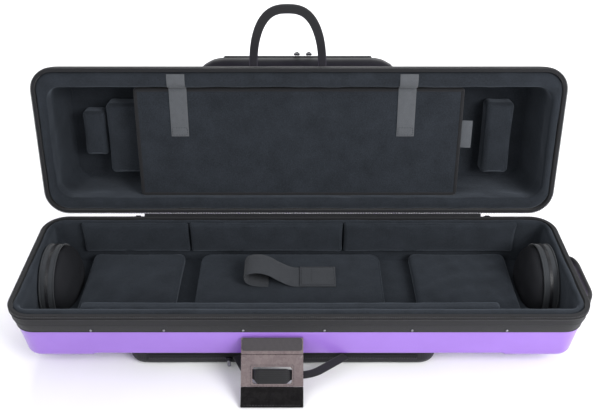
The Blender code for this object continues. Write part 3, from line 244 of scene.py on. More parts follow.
def make_spacer_mesh():
    """Knitted spacer mesh: dark round holes 3.2 mm apart in a grey net, over darker cloth."""
    material, tree, shader = new_material("grey spacer mesh", Roughness=0.8, Specular_IOR_Level=0.2)
    holes = mix_value(tree, "MULTIPLY", *cloth_waves(tree, 0.0032, 0.0032))
    two_tone(tree, shader, holes, ("#202125", "#060608"), (0.35, 0.5))
    add_bump(tree, shader, mix_value(tree, "SUBTRACT", 1.0, holes), 0.0006, 0.8)
    return material


def make_leather(name, dark, light, shine):
    """Smooth brown-grey cowhide, waxed: fine pebble grain with slow creases and a low shine."""
    material, tree, shader = new_material(name, Roughness=0.5, IOR=1.5, Specular_IOR_Level=shine)
    place = add_node(tree, "ShaderNodeTexCoord").outputs["Object"]
    pebble = add_node(tree, "ShaderNodeTexVoronoi", {"Vector": place, "Scale": 1 / 0.0014},
                      feature="SMOOTH_F1")
    two_tone(tree, shader, object_noise(tree, 0.02, 5.0), (dark, light))
    two_tone(tree, shader, object_noise(tree, 0.008), ("#777777", "#a0a0a0"), socket="Roughness")
    below = add_bump(tree, shader, object_noise(tree, 0.014, 2.0), 0.0006, 0.3)
    add_bump(tree, shader, pebble.outputs["Distance"], 0.00015, 0.5, below)
    return material


def make_hard(name, dark, light, roughness, metal=False):
    """Hard piece with slight mottling and grain: plated metal or moulded nylon."""
    mottle, grain, kind = (0.004, 0.0008, {"Metallic": 1.0}) if metal else (0.003, 0.0006, {"IOR": 1.5})
    material, tree, shader = new_material(name, Roughness=roughness, **kind)
    two_tone(tree, shader, object_noise(tree, mottle), (dark, light))
    add_bump(tree, shader, object_noise(tree, grain), 0.00003, 0.4)
    return material


# Finishes: the name of a slot and a material, which a piece takes
VIOLET = "moulded_shell", make_moulded_plastic()
PLUSH = "plush", make_plush()
# The cloth's threads, about 0.5 mm apart, are drawn 1.2 mm apart, so that they show
NYLON = "nylon_cloth", make_woven("black nylon cloth", "#101012", "#232428", 0.0012, 0.0012, 0.00012)
GREY_LOOP = "grey_webbing", make_woven("grey loop tape", "#45474a", "#64676c", 0.0014, 0.0010, 0.0003, 0.9)
TAPE = "grey_tape", make_woven("grey zip tape", "#27292c", "#424549", 0.0012, 0.0012, 0.00015)
CURL_LOOP = "grey_webbing", make_woven("dark grey loop tape", "#2b2d31", "#44474c", 0.0014, 0.0010, 0.0003,
                                       0.9)
LID_TAB = "grey_webbing", make_woven("grey woven tab", "#43464a", "#5e6166", 0.0010, 0.0010, 0.00015)
WEBBING = "black_webbing", make_ribbed("black webbing", "#0c0c0e", "#1d1d20", 0.0024, 0.0012, 0.0003)
HOOKS = "black_webbing", make_ribbed("grey-black hook strip", "#262426", "#4c484b", 0.0018, 0.0016, 0.0005)
SPACER = "pouch_mesh", make_spacer_mesh()
LEATHER = "leather", make_leather("brown-grey waxed leather", "#645859", "#6d6161", 0.5)
# Copy of the leather for the wrap's lower leaf: near black and with little shine, its shade painted into the
# colour
LEATHER_PAINTED_SHADE = "leather", make_leather("shaded brown-grey leather", "#0c0a0c", "#110f10", 0.15)
NICKEL = "bright_metal", make_hard("nickel plate", "#7c7c82", "#9a9aa0", 0.34, metal=True)
GUNMETAL = "dark_metal", make_hard("blackened zinc", "#1e1e22", "#303035", 0.42, metal=True)
TEETH = "nylon_cloth", make_hard("black nylon coil", "#131315", "#26262a", 0.42)
COIL = "dark_metal", TEETH[1]
PIPING = "nylon_cloth", make_hard("black piping", "#111113", "#222226", 0.6)
THREAD = make_hard("black thread", "#1c1c20", "#34343a", 0.8)


# Grids of points
def mean_lengths(points, axis, closed):
    """Distance along one axis of a grid, averaged over the other, with the closing step if there is one."""
    if closed:
        points = np.concatenate([points, points.take([0], axis)], axis)
    steps = np.linalg.norm(np.diff(points, axis=axis), axis=-1).mean(axis=1 - axis)
    return np.concatenate([[0], np.cumsum(steps)])


def bridge_faces(start, counts):
    """Faces that close a slit-shaped ring: quads from its long side across to the other, and two ends."""
    long_points, short_points, corner_points = counts
    run = 2 * corner_points + long_points - 1
    opposite = start + run + short_points - 1
    top = start + np.arange(run)
    mirror = opposite + run - 1 - np.arange(run)
    faces = np.stack([top[:-1], top[1:], mirror[1:], mirror[:-1]], axis=-1).tolist()
    faces.append(list(range(start + run - 1, opposite + 1)))
    faces.append([start] + list(range(opposite + run - 1, opposite + run + short_points - 1)))
    return faces


def grid_mesh(name, points, caps=None):
    """Mesh of a grid (rows, columns, 3) whose rows are rings, with a UV map in metres of cloth.

    Without caps the last row joins the first. Caps close both ends: "flat" with one face each, and
    ring counts with a bridge each.
    """
    rows, columns = points.shape[:2]
    row, column = np.meshgrid(np.arange(rows - bool(caps)), np.arange(columns), indexing="ij")
    row = row.reshape(-1, 1) + np.array([0, 0, 1, 1])
    column = column.reshape(-1, 1) + np.array([0, 1, 1, 0])
    faces = (row % rows * columns + column % columns).tolist()
    along = mean_lengths(points, 1, True)
    across = mean_lengths(points, 0, not caps)
    uv = np.stack([along[column], across[row]], axis=-1).reshape(-1, 2)
    if caps:
        flat = points.reshape(-1, 3)
        for start in (0, (rows - 1) * columns):
            ends = [list(range(start, start + columns))] if caps == "flat" else bridge_faces(start, caps)
            for face in ends:
                faces.append(face)
                uv = np.concatenate([uv, flat[face][:, :2]])
    mesh = bpy.data.meshes.new(name)
    mesh.from_pydata(points.reshape(-1, 3).tolist(), [], faces)
    layer = mesh.uv_layers.new(name="Cloth")
    layer.data.foreach_set("uv", uv.astype(np.float32).ravel())
    return mesh


def place_object(name, data):
    """Object that shows a mesh, a lamp or a camera."""
    item = bpy.data.objects.new(name, data)
    bpy.context.scene.collection.objects.link(item)
    return item


def face_out(mesh):
    """Turn a closed mesh's faces outwards."""
    shape = bmesh.new()
    shape.from_mesh(mesh)
    bmesh.ops.recalc_face_normals(shape, faces=shape.faces)
    shape.to_mesh(mesh)
    shape.free()


def add_piece(name, mesh, body, finish, nodes=(), smooth_angle=50):
    """Add a finished mesh that rides on a body, takes its finish's material and stands for CAD nodes."""
    slot, material = finish
    face_out(mesh)
    mesh.shade_smooth()
    mesh.set_sharp_from_angle(angle=math.radians(smooth_angle))
    mesh.materials.append(material)
    if body in LID_BODIES:
        mesh.transform(LID_TURN)
    piece = place_object(name, mesh)
    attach(piece, body)
    if nodes:
        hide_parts(*nodes)
    return piece


def add_grid(name, points, body, finish, nodes=(), caps=None, smooth_angle=50):
    """Add a piece that is the mesh of a grid."""
    return add_piece(name, grid_mesh(name, points, caps), body, finish, nodes, smooth_angle)


RIPPLE_WAVES = 14


def ripples(places, wavelength, amount, seed):
    """Slow uneven swelling: a sum of plane waves in seeded directions, of about the given length."""
    draw = np.random.default_rng(seed)
    total = np.zeros(places.shape[:-1])
    for _ in range(RIPPLE_WAVES):
        direction = draw.normal(size=places.shape[-1])
        direction /= np.linalg.norm(direction)
        length = wavelength * draw.uniform(0.6, 1.6)
        total += np.sin(places @ direction * 2 * math.pi / length + draw.uniform(0, 2 * math.pi))
    return amount * total / math.sqrt(RIPPLE_WAVES)


def smooth_step(value, start, end):
    """0 before start, 1 after end, and an even S curve between them."""
    share = np.clip((value - start) / (end - start), 0, 1)
    return share * share * (3 - 2 * share)


def rounded_loop(low, high, radius, counts, level=0.0):
    """Rounded rectangle at a level, anticlockwise: quarter circles joined by evenly cut straights."""
    long_points, short_points, corner_points = counts
    centres = np.array([
        [high[0] - radius, high[1] - radius],
        [low[0] + radius, high[1] - radius],
        [low[0] + radius, low[1] + radius],
        [high[0] - radius, low[1] + radius],
    ])
    turn = np.linspace(0, math.pi / 2, corner_points)
    runs = []
    for corner in range(4):
        angle = turn + corner * math.pi / 2
        out = np.stack([np.cos(angle), np.sin(angle)], axis=-1)
        arc = centres[corner] + radius * out
        following = centres[(corner + 1) % 4] + radius * out[-1]
        count = short_points if corner % 2 else long_points
        share = np.arange(1, count)[:, None] / count
        runs += [arc, arc[-1] + (following - arc[-1]) * share]
    loop = np.concatenate(runs)
    return np.column_stack([loop, np.full(len(loop), level)])


def unit(vectors):
    """Vectors made one long."""
    return vectors / np.linalg.norm(vectors, axis=-1, keepdims=True)


def resample(path, spacing):
    """Points about a spacing apart along a path, by its length."""
    steps = np.linalg.norm(np.diff(path, axis=0), axis=1)
    along = np.concatenate([[0], np.cumsum(steps)])
    wanted = np.linspace(0, along[-1], max(int(along[-1] / spacing), 2) + 1)
    return np.column_stack([np.interp(wanted, along, path[:, axis]) for axis in range(path.shape[1])])


def tube(path, radius, up=UP, sides=8, closed=True):
    """Round tube: at each point of a path, a circle in the plane of its normal and binormal."""
    ahead = np.roll(path, -1, axis=0) - np.roll(path, 1, axis=0)
    if not closed:
        ahead[0] = path[1] - path[0]
        ahead[-1] = path[-1] - path[-2]
    ahead = unit(ahead)
    across = unit(np.cross(ahead, up))
    normal = np.cross(across, ahead)
    angle = np.arange(sides)[None, :, None] * 2 * math.pi / sides
    return path[:, None] + radius * (np.cos(angle) * across[:, None] + np.sin(angle) * normal[:, None])


def add_tube(name, path, radius, body, finish, nodes=(), up=UP, sides=8, closed=True):
    """Round cord along a path, closed on itself or with capped ends."""
    points = tube(path, radius, up, sides, closed)
    add_grid(name, points, body, finish, nodes, None if closed else "flat")


# The case's own outline
OUTER_LOW, OUTER_HIGH = extent("tray_band")
RIM_Z = HINGE[2]
CORNER_RADIUS = 0.040
TRAY_DEPTH = RIM_Z - extent("tray_shell")[0][2]
LID_DEPTH = extent("lid_shell")[1][2] - RIM_Z
ZIP_LOW = RIM_Z - extent("tray_zip")[0][2]
BAND_LOW = RIM_Z - extent("tray_band")[0][2]
TRAY_SIDE = -1
LID_SIDE = 1
# Points along a loop's long side, its short side and one corner
CASE_COUNTS = (110, 24, 10)
QUARTER_STEPS = 8


def case_ring(end, front, back, radius, depth, side):
    """Ring of the case's plan outline, drawn in by its insets, at a depth from the rim plane."""
    low = (OUTER_LOW[0] + end, OUTER_LOW[1] + front)
    high = (OUTER_HIGH[0] - end, OUTER_HIGH[1] - back)
    return rounded_loop(low, high, radius, CASE_COUNTS, RIM_Z + side * depth)


def case_rings(rows, side):
    """Rings from rows of (end, front, back, radius, depth), stacked as a grid."""
    return np.stack([case_ring(*row, side) for row in rows])


def even_rows(profile):
    """Rows of one inset all round from an outline of (inset, depth), corners rounded to match."""
    return [(inset, inset, inset, max(CORNER_RADIUS - inset, 0.004), depth) for inset, depth in profile]


def quarter(inset, depth, radius):
    """Quarter circle from a flat bottom up to a wall, as insets and depths."""
    angle = np.linspace(math.pi / 2, 0, QUARTER_STEPS + 1)
    return [(inset + radius * (1 - math.cos(a)), depth - radius * (1 - math.sin(a))) for a in angle]


# Moulded shells
TRAY_DRAFT = 0.006
LID_DRAFT = 0.016
BAND_DRAFT = 0.006
EDGE_RADIUS = 0.014
INNER_EDGE_RADIUS = 0.0117
LEDGE_SET = 0.001
SHELL_INNER = 0.0033
SHELL_WALL = 0.003
LINING_SET = 0.0068
TRAY_FLOOR_WALL = 0.013
FOOT_STEP = 0.010
WALL_STEPS = 10
FOOT_START = OUTER_HIGH[0] - 0.119
FOOT_RUN = 0.010
FLOOR_STEPS = 6
SLIT_HALF = 0.004
# Each half's way from the rim, its depth, its floor's thickness and its draft
HALVES = {
    "tray": (TRAY_SIDE, TRAY_DEPTH, TRAY_FLOOR_WALL, TRAY_DRAFT),
    "lid": (LID_SIDE, LID_DEPTH, SHELL_WALL, LID_DRAFT),
}


def floor_rows(end, inset, depth):
    """Rows that close a level floor: the sides draw in to a slit along the middle."""
    reach = (OUTER_HIGH[1] - OUTER_LOW[1]) / 2 - SLIT_HALF
    insets = [reach - (reach - inset) * (1 - share) for share in np.linspace(1, 0, FLOOR_STEPS + 1)[:-1]]
    return [(end, side_inset, side_inset, SLIT_HALF, depth) for side_inset in insets]


# The shell ends a little under the zip, so that no violet shows beside the plush lip
SHELL_RIM = ZIP_LOW + 0.005
GROOVE_CORD = 0.0018
LEDGE_DROP = 0.002
LEDGE_STEP = 0.0006


def add_moulding(half):
    """Shell of one half: drafted wall, rounded bottom edge, ledge under the band, and its inside."""
    side, depth, floor, draft = HALVES[half]
    ledge = BAND_LOW + GAP
    set_in = LEDGE_SET + BAND_DRAFT
    outer = quarter(set_in + draft, depth, EDGE_RADIUS)
    high = depth - EDGE_RADIUS
    outer += [(set_in + draft * share, ledge + LEDGE_DROP + (high - ledge - LEDGE_DROP) * share)
              for share in np.linspace(1, 0, WALL_STEPS)[1:]]
    outer += [(set_in + LEDGE_STEP, ledge), (SHELL_INNER + BAND_DRAFT, ledge), (SHELL_INNER, SHELL_RIM)]
    wall = SHELL_INNER + SHELL_WALL
    inner = quarter(wall + BAND_DRAFT + draft, depth - floor, INNER_EDGE_RADIUS)
    inner += [(wall + BAND_DRAFT, ledge), (wall, SHELL_RIM)]
    edge = set_in + draft + EDGE_RADIUS
    rows = floor_rows(edge, edge, depth) + even_rows(outer) + even_rows(inner[::-1])
    rows += floor_rows(edge, edge, depth - floor)[::-1]
    points = case_rings(rows, side)
    if side == TRAY_SIDE:
        rise = FOOT_STEP * (1 - smooth_step(np.abs(points[..., 0]), FOOT_START - FOOT_RUN, FOOT_START))
        outside = np.arange(len(rows)) < FLOOR_STEPS + len(outer)
        lifted = np.maximum(points[..., 2], RIM_Z - depth + rise)
        points[..., 2] = np.where(outside[:, None], lifted, points[..., 2])
    add_grid(f"{half}_moulding", points, half, VIOLET, (f"{half}_shell",), CASE_COUNTS)


add_moulding("tray")
add_moulding("lid")

# Cloth band and its piping along each rim
BAND_WALL = 0.003
BAND_SWELL = 0.0008
BAND_RIPPLE = 0.0002
ZIP_TAPE_INSETS = (0.0008, 0.0062)
PIPE_RADIUS = 0.0012
PIPE_INSET = 0.0002
SEAM_RADIUS = 0.0006
SEAM_SHARE = 0.45
PILLOW_STEPS = 6


def pillow(low_inset, high_inset, low_depth, high_depth, swell, lean=0.0):
    """Closed outline of a leaning strip with a swollen outer face and square inner corners."""
    outer = [(low_inset + lean * s - swell * math.sin(math.pi * s), low_depth + (high_depth - low_depth) * s)
             for s in np.linspace(0, 1, PILLOW_STEPS + 1)]
    return outer + [(high_inset + lean, high_depth), (high_inset, low_depth)]


def add_rim_strip(name, outline, side, body, node, ripple=0.0):
    """Strip carried round the rim on a closed outline of (inset, depth)."""
    points = case_rings(even_rows(outline), side)
    if ripple:
        points[..., 2] += ripples(points[0, :, :2], 0.06, ripple, 3)[None, :]
    add_grid(name, points, body, NYLON, (node,))


def add_piping(name, inset, depth, side, body, radius=PIPE_RADIUS):
    """Piping round the rim: a round tube at an inset and depth."""
    ring = case_rings(even_rows([(inset, depth)]), side)[0]
    add_tube(name, ring, radius, body, PIPING, sides=10)


# Zip teeth: a moulded coil along each half's edge, drawn twice as coarse as the real one
TOOTH_PITCH = 0.0030
TOOTH_SIZE = np.array([0.0008, 0.0013, 0.0013])
ZIP_RISE = 0.0005


def add_blocks(name, places, axes, half, body, finish):
    """Many small blocks in one piece: eight corners each, at places, along three axes of each place."""
    signs = np.array([[x, y, z] for x in (-1, 1) for y in (-1, 1) for z in (-1, 1)], float)
    corners = places[:, None] + np.einsum("kc,nci->nki", signs * half, axes)
    quads = np.array([[0, 1, 3, 2], [4, 6, 7, 5], [0, 4, 5, 1], [2, 3, 7, 6], [0, 2, 6, 4], [1, 5, 7, 3]])
    faces = (np.arange(len(places))[:, None, None] * 8 + quads).reshape(-1, 4)
    mesh = bpy.data.meshes.new(name)
    mesh.from_pydata(corners.reshape(-1, 3).tolist(), [], faces.tolist())
    add_piece(name, mesh, body, finish, smooth_angle=20)


def add_teeth(name, side, body):
    """Teeth of one half, standing a little proud of the tape along the rim."""
    ring = case_rings(even_rows([(0.0004, ZIP_RISE + TOOTH_SIZE[2] + 0.0004)]), side)[0]
    places = resample(np.concatenate([ring, ring[:1]]), TOOTH_PITCH)[:-1]
    ahead = unit(np.roll(places, -1, axis=0) - np.roll(places, 1, axis=0))
    axes = np.stack([ahead, np.cross(ahead, UP), np.broadcast_to(UP, ahead.shape)], axis=1)
    add_blocks(name, places, axes, TOOTH_SIZE, body, TEETH)


for side, body in ((TRAY_SIDE, "tray"), (LID_SIDE, "lid")):
    add_piping(f"{body}_groove_cord", (SHELL_INNER + LINING_SET) / 2, SHELL_RIM - GROOVE_CORD, side, body,
               GROOVE_CORD)
    band = pillow(0.0, BAND_WALL, ZIP_LOW + GAP, BAND_LOW, BAND_SWELL, BAND_DRAFT)
    add_rim_strip(f"{body}_cloth_band", band, side, body, f"{body}_band", BAND_RIPPLE)
    tape = pillow(*ZIP_TAPE_INSETS, ZIP_RISE, ZIP_LOW, 0.0)
    add_rim_strip(f"{body}_zip_tape", tape, side, body, f"{body}_zip")
    add_piping(f"{body}_rim_piping", PIPE_INSET, ZIP_LOW, side, body)
    add_piping(f"{body}_lower_piping", BAND_DRAFT + PIPE_INSET, BAND_LOW, side, body)
    seam = ZIP_LOW + (BAND_LOW - ZIP_LOW) * SEAM_SHARE
    add_piping(f"{body}_band_seam", BAND_DRAFT * SEAM_SHARE - BAND_SWELL, seam, side, body, SEAM_RADIUS)
    add_teeth(f"{body}_zip_teeth", side, body)


# Plush linings
LIP_ROUND = 0.007
LIP_TOP = 0.0016
LINING_FLOOR = 0.017
FOOT_ROUND = 0.003
FOOT_POWER = 1.3
LIP_STEPS = 10
PLUSH_SWELL = 0.0009


def add_plush_lining(half, lips, foot, rise, radius, seed):
    """Foam under plush: it rolls over the rim as a half circle, leans in near its foot and has a floor."""
    side, depth, floor, draft = HALVES[half]
    wall = LINING_SET
    skin = quarter(wall + BAND_DRAFT + draft, depth - floor - GAP, INNER_EDGE_RADIUS)
    outside = even_rows(skin + [(wall + BAND_DRAFT, BAND_LOW)])
    rim_radius = CORNER_RADIUS - wall
    rows = []
    for angle in np.linspace(0, math.pi, LIP_STEPS + 1):
        share = (1 - math.cos(angle)) / 2
        insets = [wall + (lip - wall) * share for lip in lips]
        rows.append((*insets, rim_radius + (radius - rim_radius) * share,
                     LIP_TOP + LIP_ROUND * (1 - math.sin(angle))))
    cavity = depth - LINING_FLOOR
    knee = cavity - rise
    for share in np.linspace(0, 1, WALL_STEPS + 1)[1:]:
        rows.append((*lips, radius, LIP_TOP + LIP_ROUND + (knee - LIP_TOP - LIP_ROUND) * share))
    for share in np.linspace(0, 1, 8)[1:]:
        bend = share ** FOOT_POWER
        insets = [lip + (low - lip) * bend for lip, low in zip(lips, foot)]
        rows.append((*insets, radius, knee + (cavity - knee) * (1 - (1 - share) ** FOOT_POWER)))
    floor_end = foot[0] + FOOT_ROUND
    floor_side = max(foot[1], foot[2]) + FOOT_ROUND
    rows.append((floor_end, floor_side, floor_side, 2 * FOOT_ROUND, cavity))
    inner = rows + floor_rows(floor_end, max(foot[1], foot[2]) + 2 * FOOT_ROUND, cavity)[::-1]
    edge = wall + BAND_DRAFT + draft + INNER_EDGE_RADIUS
    under = floor_rows(edge, edge, depth - floor - GAP)
    points = case_rings(under + outside + inner, side)
    soft = points[len(under) + len(outside):]
    swell = ripples(soft, 0.05, PLUSH_SWELL, seed)
    out = soft - UP * (RIM_Z + side * cavity * 0.6)
    out[..., 0] = np.where(np.abs(soft[..., 0]) > OUTER_HIGH[0] - 0.05, out[..., 0], 0.0)
    soft += unit(out) * np.clip(swell, -PLUSH_SWELL, PLUSH_SWELL)[..., None] * 0.8
    add_grid(f"{half}_plush", points, half, PLUSH, (f"{half}_lining",), CASE_COUNTS)


# Insets of the plush at the ends, the front and the back: at its lip, then at its foot
LID_LIPS = (0.022, 0.034, 0.0275)
add_plush_lining("tray", (0.018, 0.024, 0.016), (0.0215, 0.024, 0.0215), 0.023, 0.012, 11)
add_plush_lining("lid", LID_LIPS, (0.040, 0.038, 0.036), 0.055, 0.026, 12)


# Upholstered foam
PAD_CORNER = 0.006
PAD_EDGE = 0.005
PAD_CORNER_POINTS = 6
LEAST_CORNER = 0.0008
# Half of the slit that closes a face, and where the sides draw in, as shares of the half width
SLIT_SHARE = 0.98
DRAWN_SHARE = 0.93
DENT_LENGTH = 0.045


def pad_grid(low, high, axis, facing, crown, corner=PAD_CORNER, edge=PAD_EDGE, draw_in=0.0015,
             spacing=0.006, dents=0.0, seed=0):
    """Foam block as rings from its back to its face.

    The rings are rounded rectangles: a short flat back, straight sides that draw in between the
    corners, a quarter-circle edge and a face that rises by crown times the square root of
    (1 - u squared)(1 - v squared), where u and v run from -1 to 1 across it.
    """
    low = np.array(low, float)
    high = np.array(high, float)
    plane = [index for index in range(3) if index != axis]
    low2, high2 = low[plane], high[plane]
    size = high2 - low2
    thickness = high[axis] - low[axis]
    edge = min(edge, thickness * 0.45)
    long_axis = int(size[1] > size[0])
    if long_axis:
        low2, high2, size, plane = low2[::-1], high2[::-1], size[::-1], plane[::-1]
    long_points = max(int(size[0] / spacing), 4)
    short_points = max(int(size[1] / spacing), 3)
    half = size / 2
    middle = (low2 + high2) / 2
    slit = half[1] * SLIT_SHARE
    rows = [(edge, edge + (slit - edge) * share, 0.0) for share in np.linspace(1, 0, 5)[:-1]]
    rows += [(inset, inset, edge * (1 - math.sin(angle))) for angle in np.linspace(math.pi / 2, 0, 5)
             for inset in [edge * (1 - math.cos(angle))]]
    rows += [(0.0, 0.0, edge + (thickness - crown - 2 * edge) * share)
             for share in np.linspace(0, 1, 5)[1:-1]]
    rows += [(inset, inset, thickness - crown - edge * (1 - math.sin(angle)))
             for angle in np.linspace(0, math.pi / 2, 6) for inset in [edge * (1 - math.cos(angle))]]
    face = len(rows)
    steps = max(int(half[1] / spacing), 4)
    rows += [(edge, edge + (slit - edge) * share, thickness - crown)
             for share in np.linspace(0, 1, steps + 1)[1:]]
    counts = (long_points, short_points, PAD_CORNER_POINTS)
    rings = []
    for end_inset, side_inset, level in rows:
        inset = np.array([end_inset, side_inset])
        radius = min(max(corner - side_inset, LEAST_CORNER), (half - inset).min() * 0.99)
        rings.append(rounded_loop(low2 + inset, high2 - inset, radius, counts, level))
    grid = np.stack(rings)
    share = (grid[..., :2] - middle) / half
    fall = 1 - share ** 2
    bulge = fall[..., 0] * fall[..., 1]
    lift = np.where(np.arange(len(rows))[:, None] >= face - 1, crown * np.sqrt(np.clip(bulge, 0, 1)), 0.0)
    grid[..., 2] += lift
    grid[..., :2] -= draw_in * (np.sign(share) * (np.abs(share) > DRAWN_SHARE) * fall[..., ::-1])
    if dents:
        dent = np.clip(ripples(grid[..., :2], DENT_LENGTH, dents, seed), -dents, dents)
        grid[..., 2] += dent * np.minimum(1, bulge * 3)
    points = np.empty_like(grid)
    points[..., plane[0]] = grid[..., 0]
    points[..., plane[1]] = grid[..., 1]
    points[..., axis] = low[axis] + grid[..., 2] if facing > 0 else high[axis] - grid[..., 2]
    return points, counts


def add_block(name, pad, body, finish, node):
    """Piece from a block's rings and their counts, as pad_grid gives them."""
    points, counts = pad
    return add_grid(name, points, body, finish, (node,), counts)


def add_foam(name, node, body, axis, facing, crown, dents, seed, rise=0.0, **shape):
    """Plush-covered foam block in the space of a CAD node, its top raised by the rise."""
    low, high = extent(node)
    high[2] += rise
    pad = pad_grid(low, high, axis, facing, crown, dents=dents, seed=seed, **shape)
    piece = add_block(name, pad, body, PLUSH, node)


# The back pads are drawn taller than their solids, up towards the plush roll
BACK_CUSHION_RISE = 0.010
for number, word in enumerate(("left", "middle", "right")):
    add_foam(f"back_cushion_{word}", f"back_pad_{word}", "tray", 1, -1, 0.004, 0.0008, 20 + number,
             rise=BACK_CUSHION_RISE)
add_foam("front_cushion", "front_pad", "tray", 1, 1, 0.0015, 0.0009, 23)
for number, word in enumerate(("left", "right")):
    add_foam(f"floor_cushion_{word}", f"floor_block_{word}", "tray", 2, 1, 0.0025, 0.0008, 24 + number,
             corner=0.012)
for number, word in enumerate(("small", "large", "right")):
    add_foam(f"lid_cushion_{word}", f"lid_block_{word}", "lid", 2, -1, 0.004, 0.0008, 26 + number,
             corner=0.010, edge=0.007)
add_foam("lid_document_panel", "lid_panel", "panel", 2, -1, 0.0008, 0.0004, 29, corner=0.004, edge=0.0035,
         draw_in=0.0005)


# Straps, tapes and stitches
CURVE_STEPS = 10
RIBBON_COLUMNS = 11
STITCH_PITCH = 0.0045
STITCH_INSET = 0.0025
STITCH_HALF = np.array([0.0014, 0.00035, 0.00035])


def rounded_path(corners, radius, spacing):
    """Path through corners, each cut by a quadratic curve that starts and ends a radius away."""
    corners = np.array(corners, float)
    t = np.linspace(0, 1, 13)[:, None]
    runs = [corners[:1]]
    for before, corner, after in zip(corners, corners[1:], corners[2:]):
        start = corner + unit(before - corner) * min(radius, np.linalg.norm(before - corner) / 2)
        end = corner + unit(after - corner) * min(radius, np.linalg.norm(after - corner) / 2)
        runs.append(start * (1 - t) ** 2 + corner * 2 * t * (1 - t) + end * t ** 2)
    runs.append(corners[-1:])
    return resample(np.concatenate(runs), spacing)


def smooth_curve(points):
    """Curve through points: a cubic between each pair, shaped by their neighbours."""
    padded = np.concatenate([points[:1], points, points[-1:]])
    before, start, end, after = (padded[k:len(points) - 1 + k, None] for k in range(4))
    t = np.linspace(0, 1, CURVE_STEPS, endpoint=False)[None, :, None]
    curve = 0.5 * (2 * start + (end - before) * t + (2 * before - 5 * start + 4 * end - after) * t ** 2
                   + (3 * start - before - 3 * end + after) * t ** 3)
    return np.concatenate([curve.reshape(-1, points.shape[1]), points[-1:]])


def ribbon(path, across, width, thickness):
    """Flat strap: along a path, a strip whose half thickness falls off as 1 - s to the 8th at its edges."""
    across = unit(np.broadcast_to(across, path.shape))
    out = unit(np.cross(across, np.gradient(path, axis=0)))
    share = np.linspace(-1, 1, RIBBON_COLUMNS)
    half = thickness / 2 * (0.25 + 0.75 * np.sqrt(1 - share ** 8))
    wide = np.broadcast_to(width, (len(path),))
    sideways = np.concatenate([share, share[::-1]])[None, :] * wide[:, None] / 2
    lift = np.concatenate([half, -half[::-1]])
    return path[:, None] + across[:, None] * sideways[..., None] + out[:, None] * lift[None, :, None]


def add_ribbon(name, path, across, width, thickness, body, finish, nodes=()):
    """Strap along a path, its ends closed."""
    add_grid(name, ribbon(path, across, width, thickness), body, finish, nodes, "flat")


def add_stitches(name, paths, up, body, cloth):
    """Rows of short thread stitches along paths that lie on a cloth facing up."""
    places = []
    axes = []
    for path in paths:
        run = resample(path, STITCH_PITCH)
        ahead = unit(run[1:] - run[:-1])
        side = unit(np.cross(up, ahead))
        places.append((run[1:] + run[:-1]) / 2)
        axes.append(np.stack([ahead, side, np.cross(ahead, side)], axis=1))
    add_blocks(name, np.concatenate(places), np.concatenate(axes), STITCH_HALF, body, (cloth[0], THREAD))


def rectangle(low, high, level):
    """Closed path round a level rectangle."""
    return points_at((low[0], high[0], high[0], low[0], low[0]), (low[1], low[1], high[1], high[1], low[1]),
                     level)


# Lid: bound panel, its straps over the lip and its tab
LID_STRAP_THICKNESS = 0.0012
BINDING_WIDTH = 0.0042
PANEL_LOW, PANEL_HIGH = extent("lid_panel")


def add_panel_binding():
    """Folded tape over the panel's edge: a tube with a flat oval section."""
    inset = BINDING_WIDTH * 0.8
    middle = (PANEL_LOW[2] + PANEL_HIGH[2]) / 2
    half = (PANEL_HIGH[2] - PANEL_LOW[2]) / 2
    path = rounded_loop(PANEL_LOW[:2] + inset, PANEL_HIGH[:2] - inset, 0.003, (90, 32, 5), middle)
    circle = tube(path, 1.0, sides=14) - path[:, None]
    oval = circle * np.array([BINDING_WIDTH, BINDING_WIDTH, half + 0.0002])
    add_grid("panel_binding", path[:, None] + oval, "panel", NYLON)


def add_lid_strap(name, node):
    """Loop tape from the panel's face up the lid's wall and over its plush lip."""
    low, high, middle, size = box_of(node)
    clearance = GAP + LID_STRAP_THICKNESS / 2
    half = (LID_LIPS[1] - LINING_SET) / 2
    angle = np.linspace(math.pi, math.pi / 4, 19)
    out_y = -np.cos(angle) / half
    out_z = -np.sin(angle) / LIP_ROUND
    scale = clearance / np.hypot(out_y, out_z)
    lip = points_at(middle[0], OUTER_LOW[1] + LINING_SET + half * (1 - np.cos(angle)) + out_y * scale,
                    RIM_Z + LIP_TOP + LIP_ROUND * (1 - np.sin(angle)) + out_z * scale)
    face = PANEL_LOW[2] - clearance
    start = [[middle[0], high[1], face], [middle[0], lip[0, 1], face], lip[0]]
    path = resample(np.concatenate([rounded_path(start, 0.004, 0.002), lip[1:]]), 0.002)
    add_ribbon(name, path, (1, 0, 0), size[0], LID_STRAP_THICKNESS, "panel", GREY_LOOP, (node,))
    border = rectangle((low[0] + STITCH_INSET, high[1] - 0.016), high[:2] - STITCH_INSET,
                       face - LID_STRAP_THICKNESS / 2)
    add_stitches(f"{name}_stitches", [border], UP, "panel", GREY_LOOP)


def add_lid_tab():
    """Blank grey tab that stands out from behind the panel's edge."""
    low, high, middle, size = box_of("lid_tab")
    x = np.linspace(low[0], high[0], 24)
    path = points_at(x, middle[1], middle[2] - 0.0015 * smooth_step(x, PANEL_HIGH[0], high[0]))
    add_ribbon("blank_lid_tab", path, (0, 1, 0), *size[1:], "panel", LID_TAB, ("lid_tab",))


add_panel_binding()
add_lid_strap("lid_strap_tape_left", "lid_strap_left")
add_lid_strap("lid_strap_tape_right", "lid_strap_right")
add_lid_tab()

# Accessory box with its flap and curled strap
BOX_LOW, BOX_HIGH = extent("accessory_box")
BOX_WALL = 0.006
BOX_CORNER = 0.020
BOX_FLOOR = 0.003
# Side inset at which the floor and the underside close as a slit
BOX_SLIT = 0.085
BOX_COUNTS = (50, 28, 8)
FLAP_LOW, FLAP_HIGH = extent("accessory_flap")


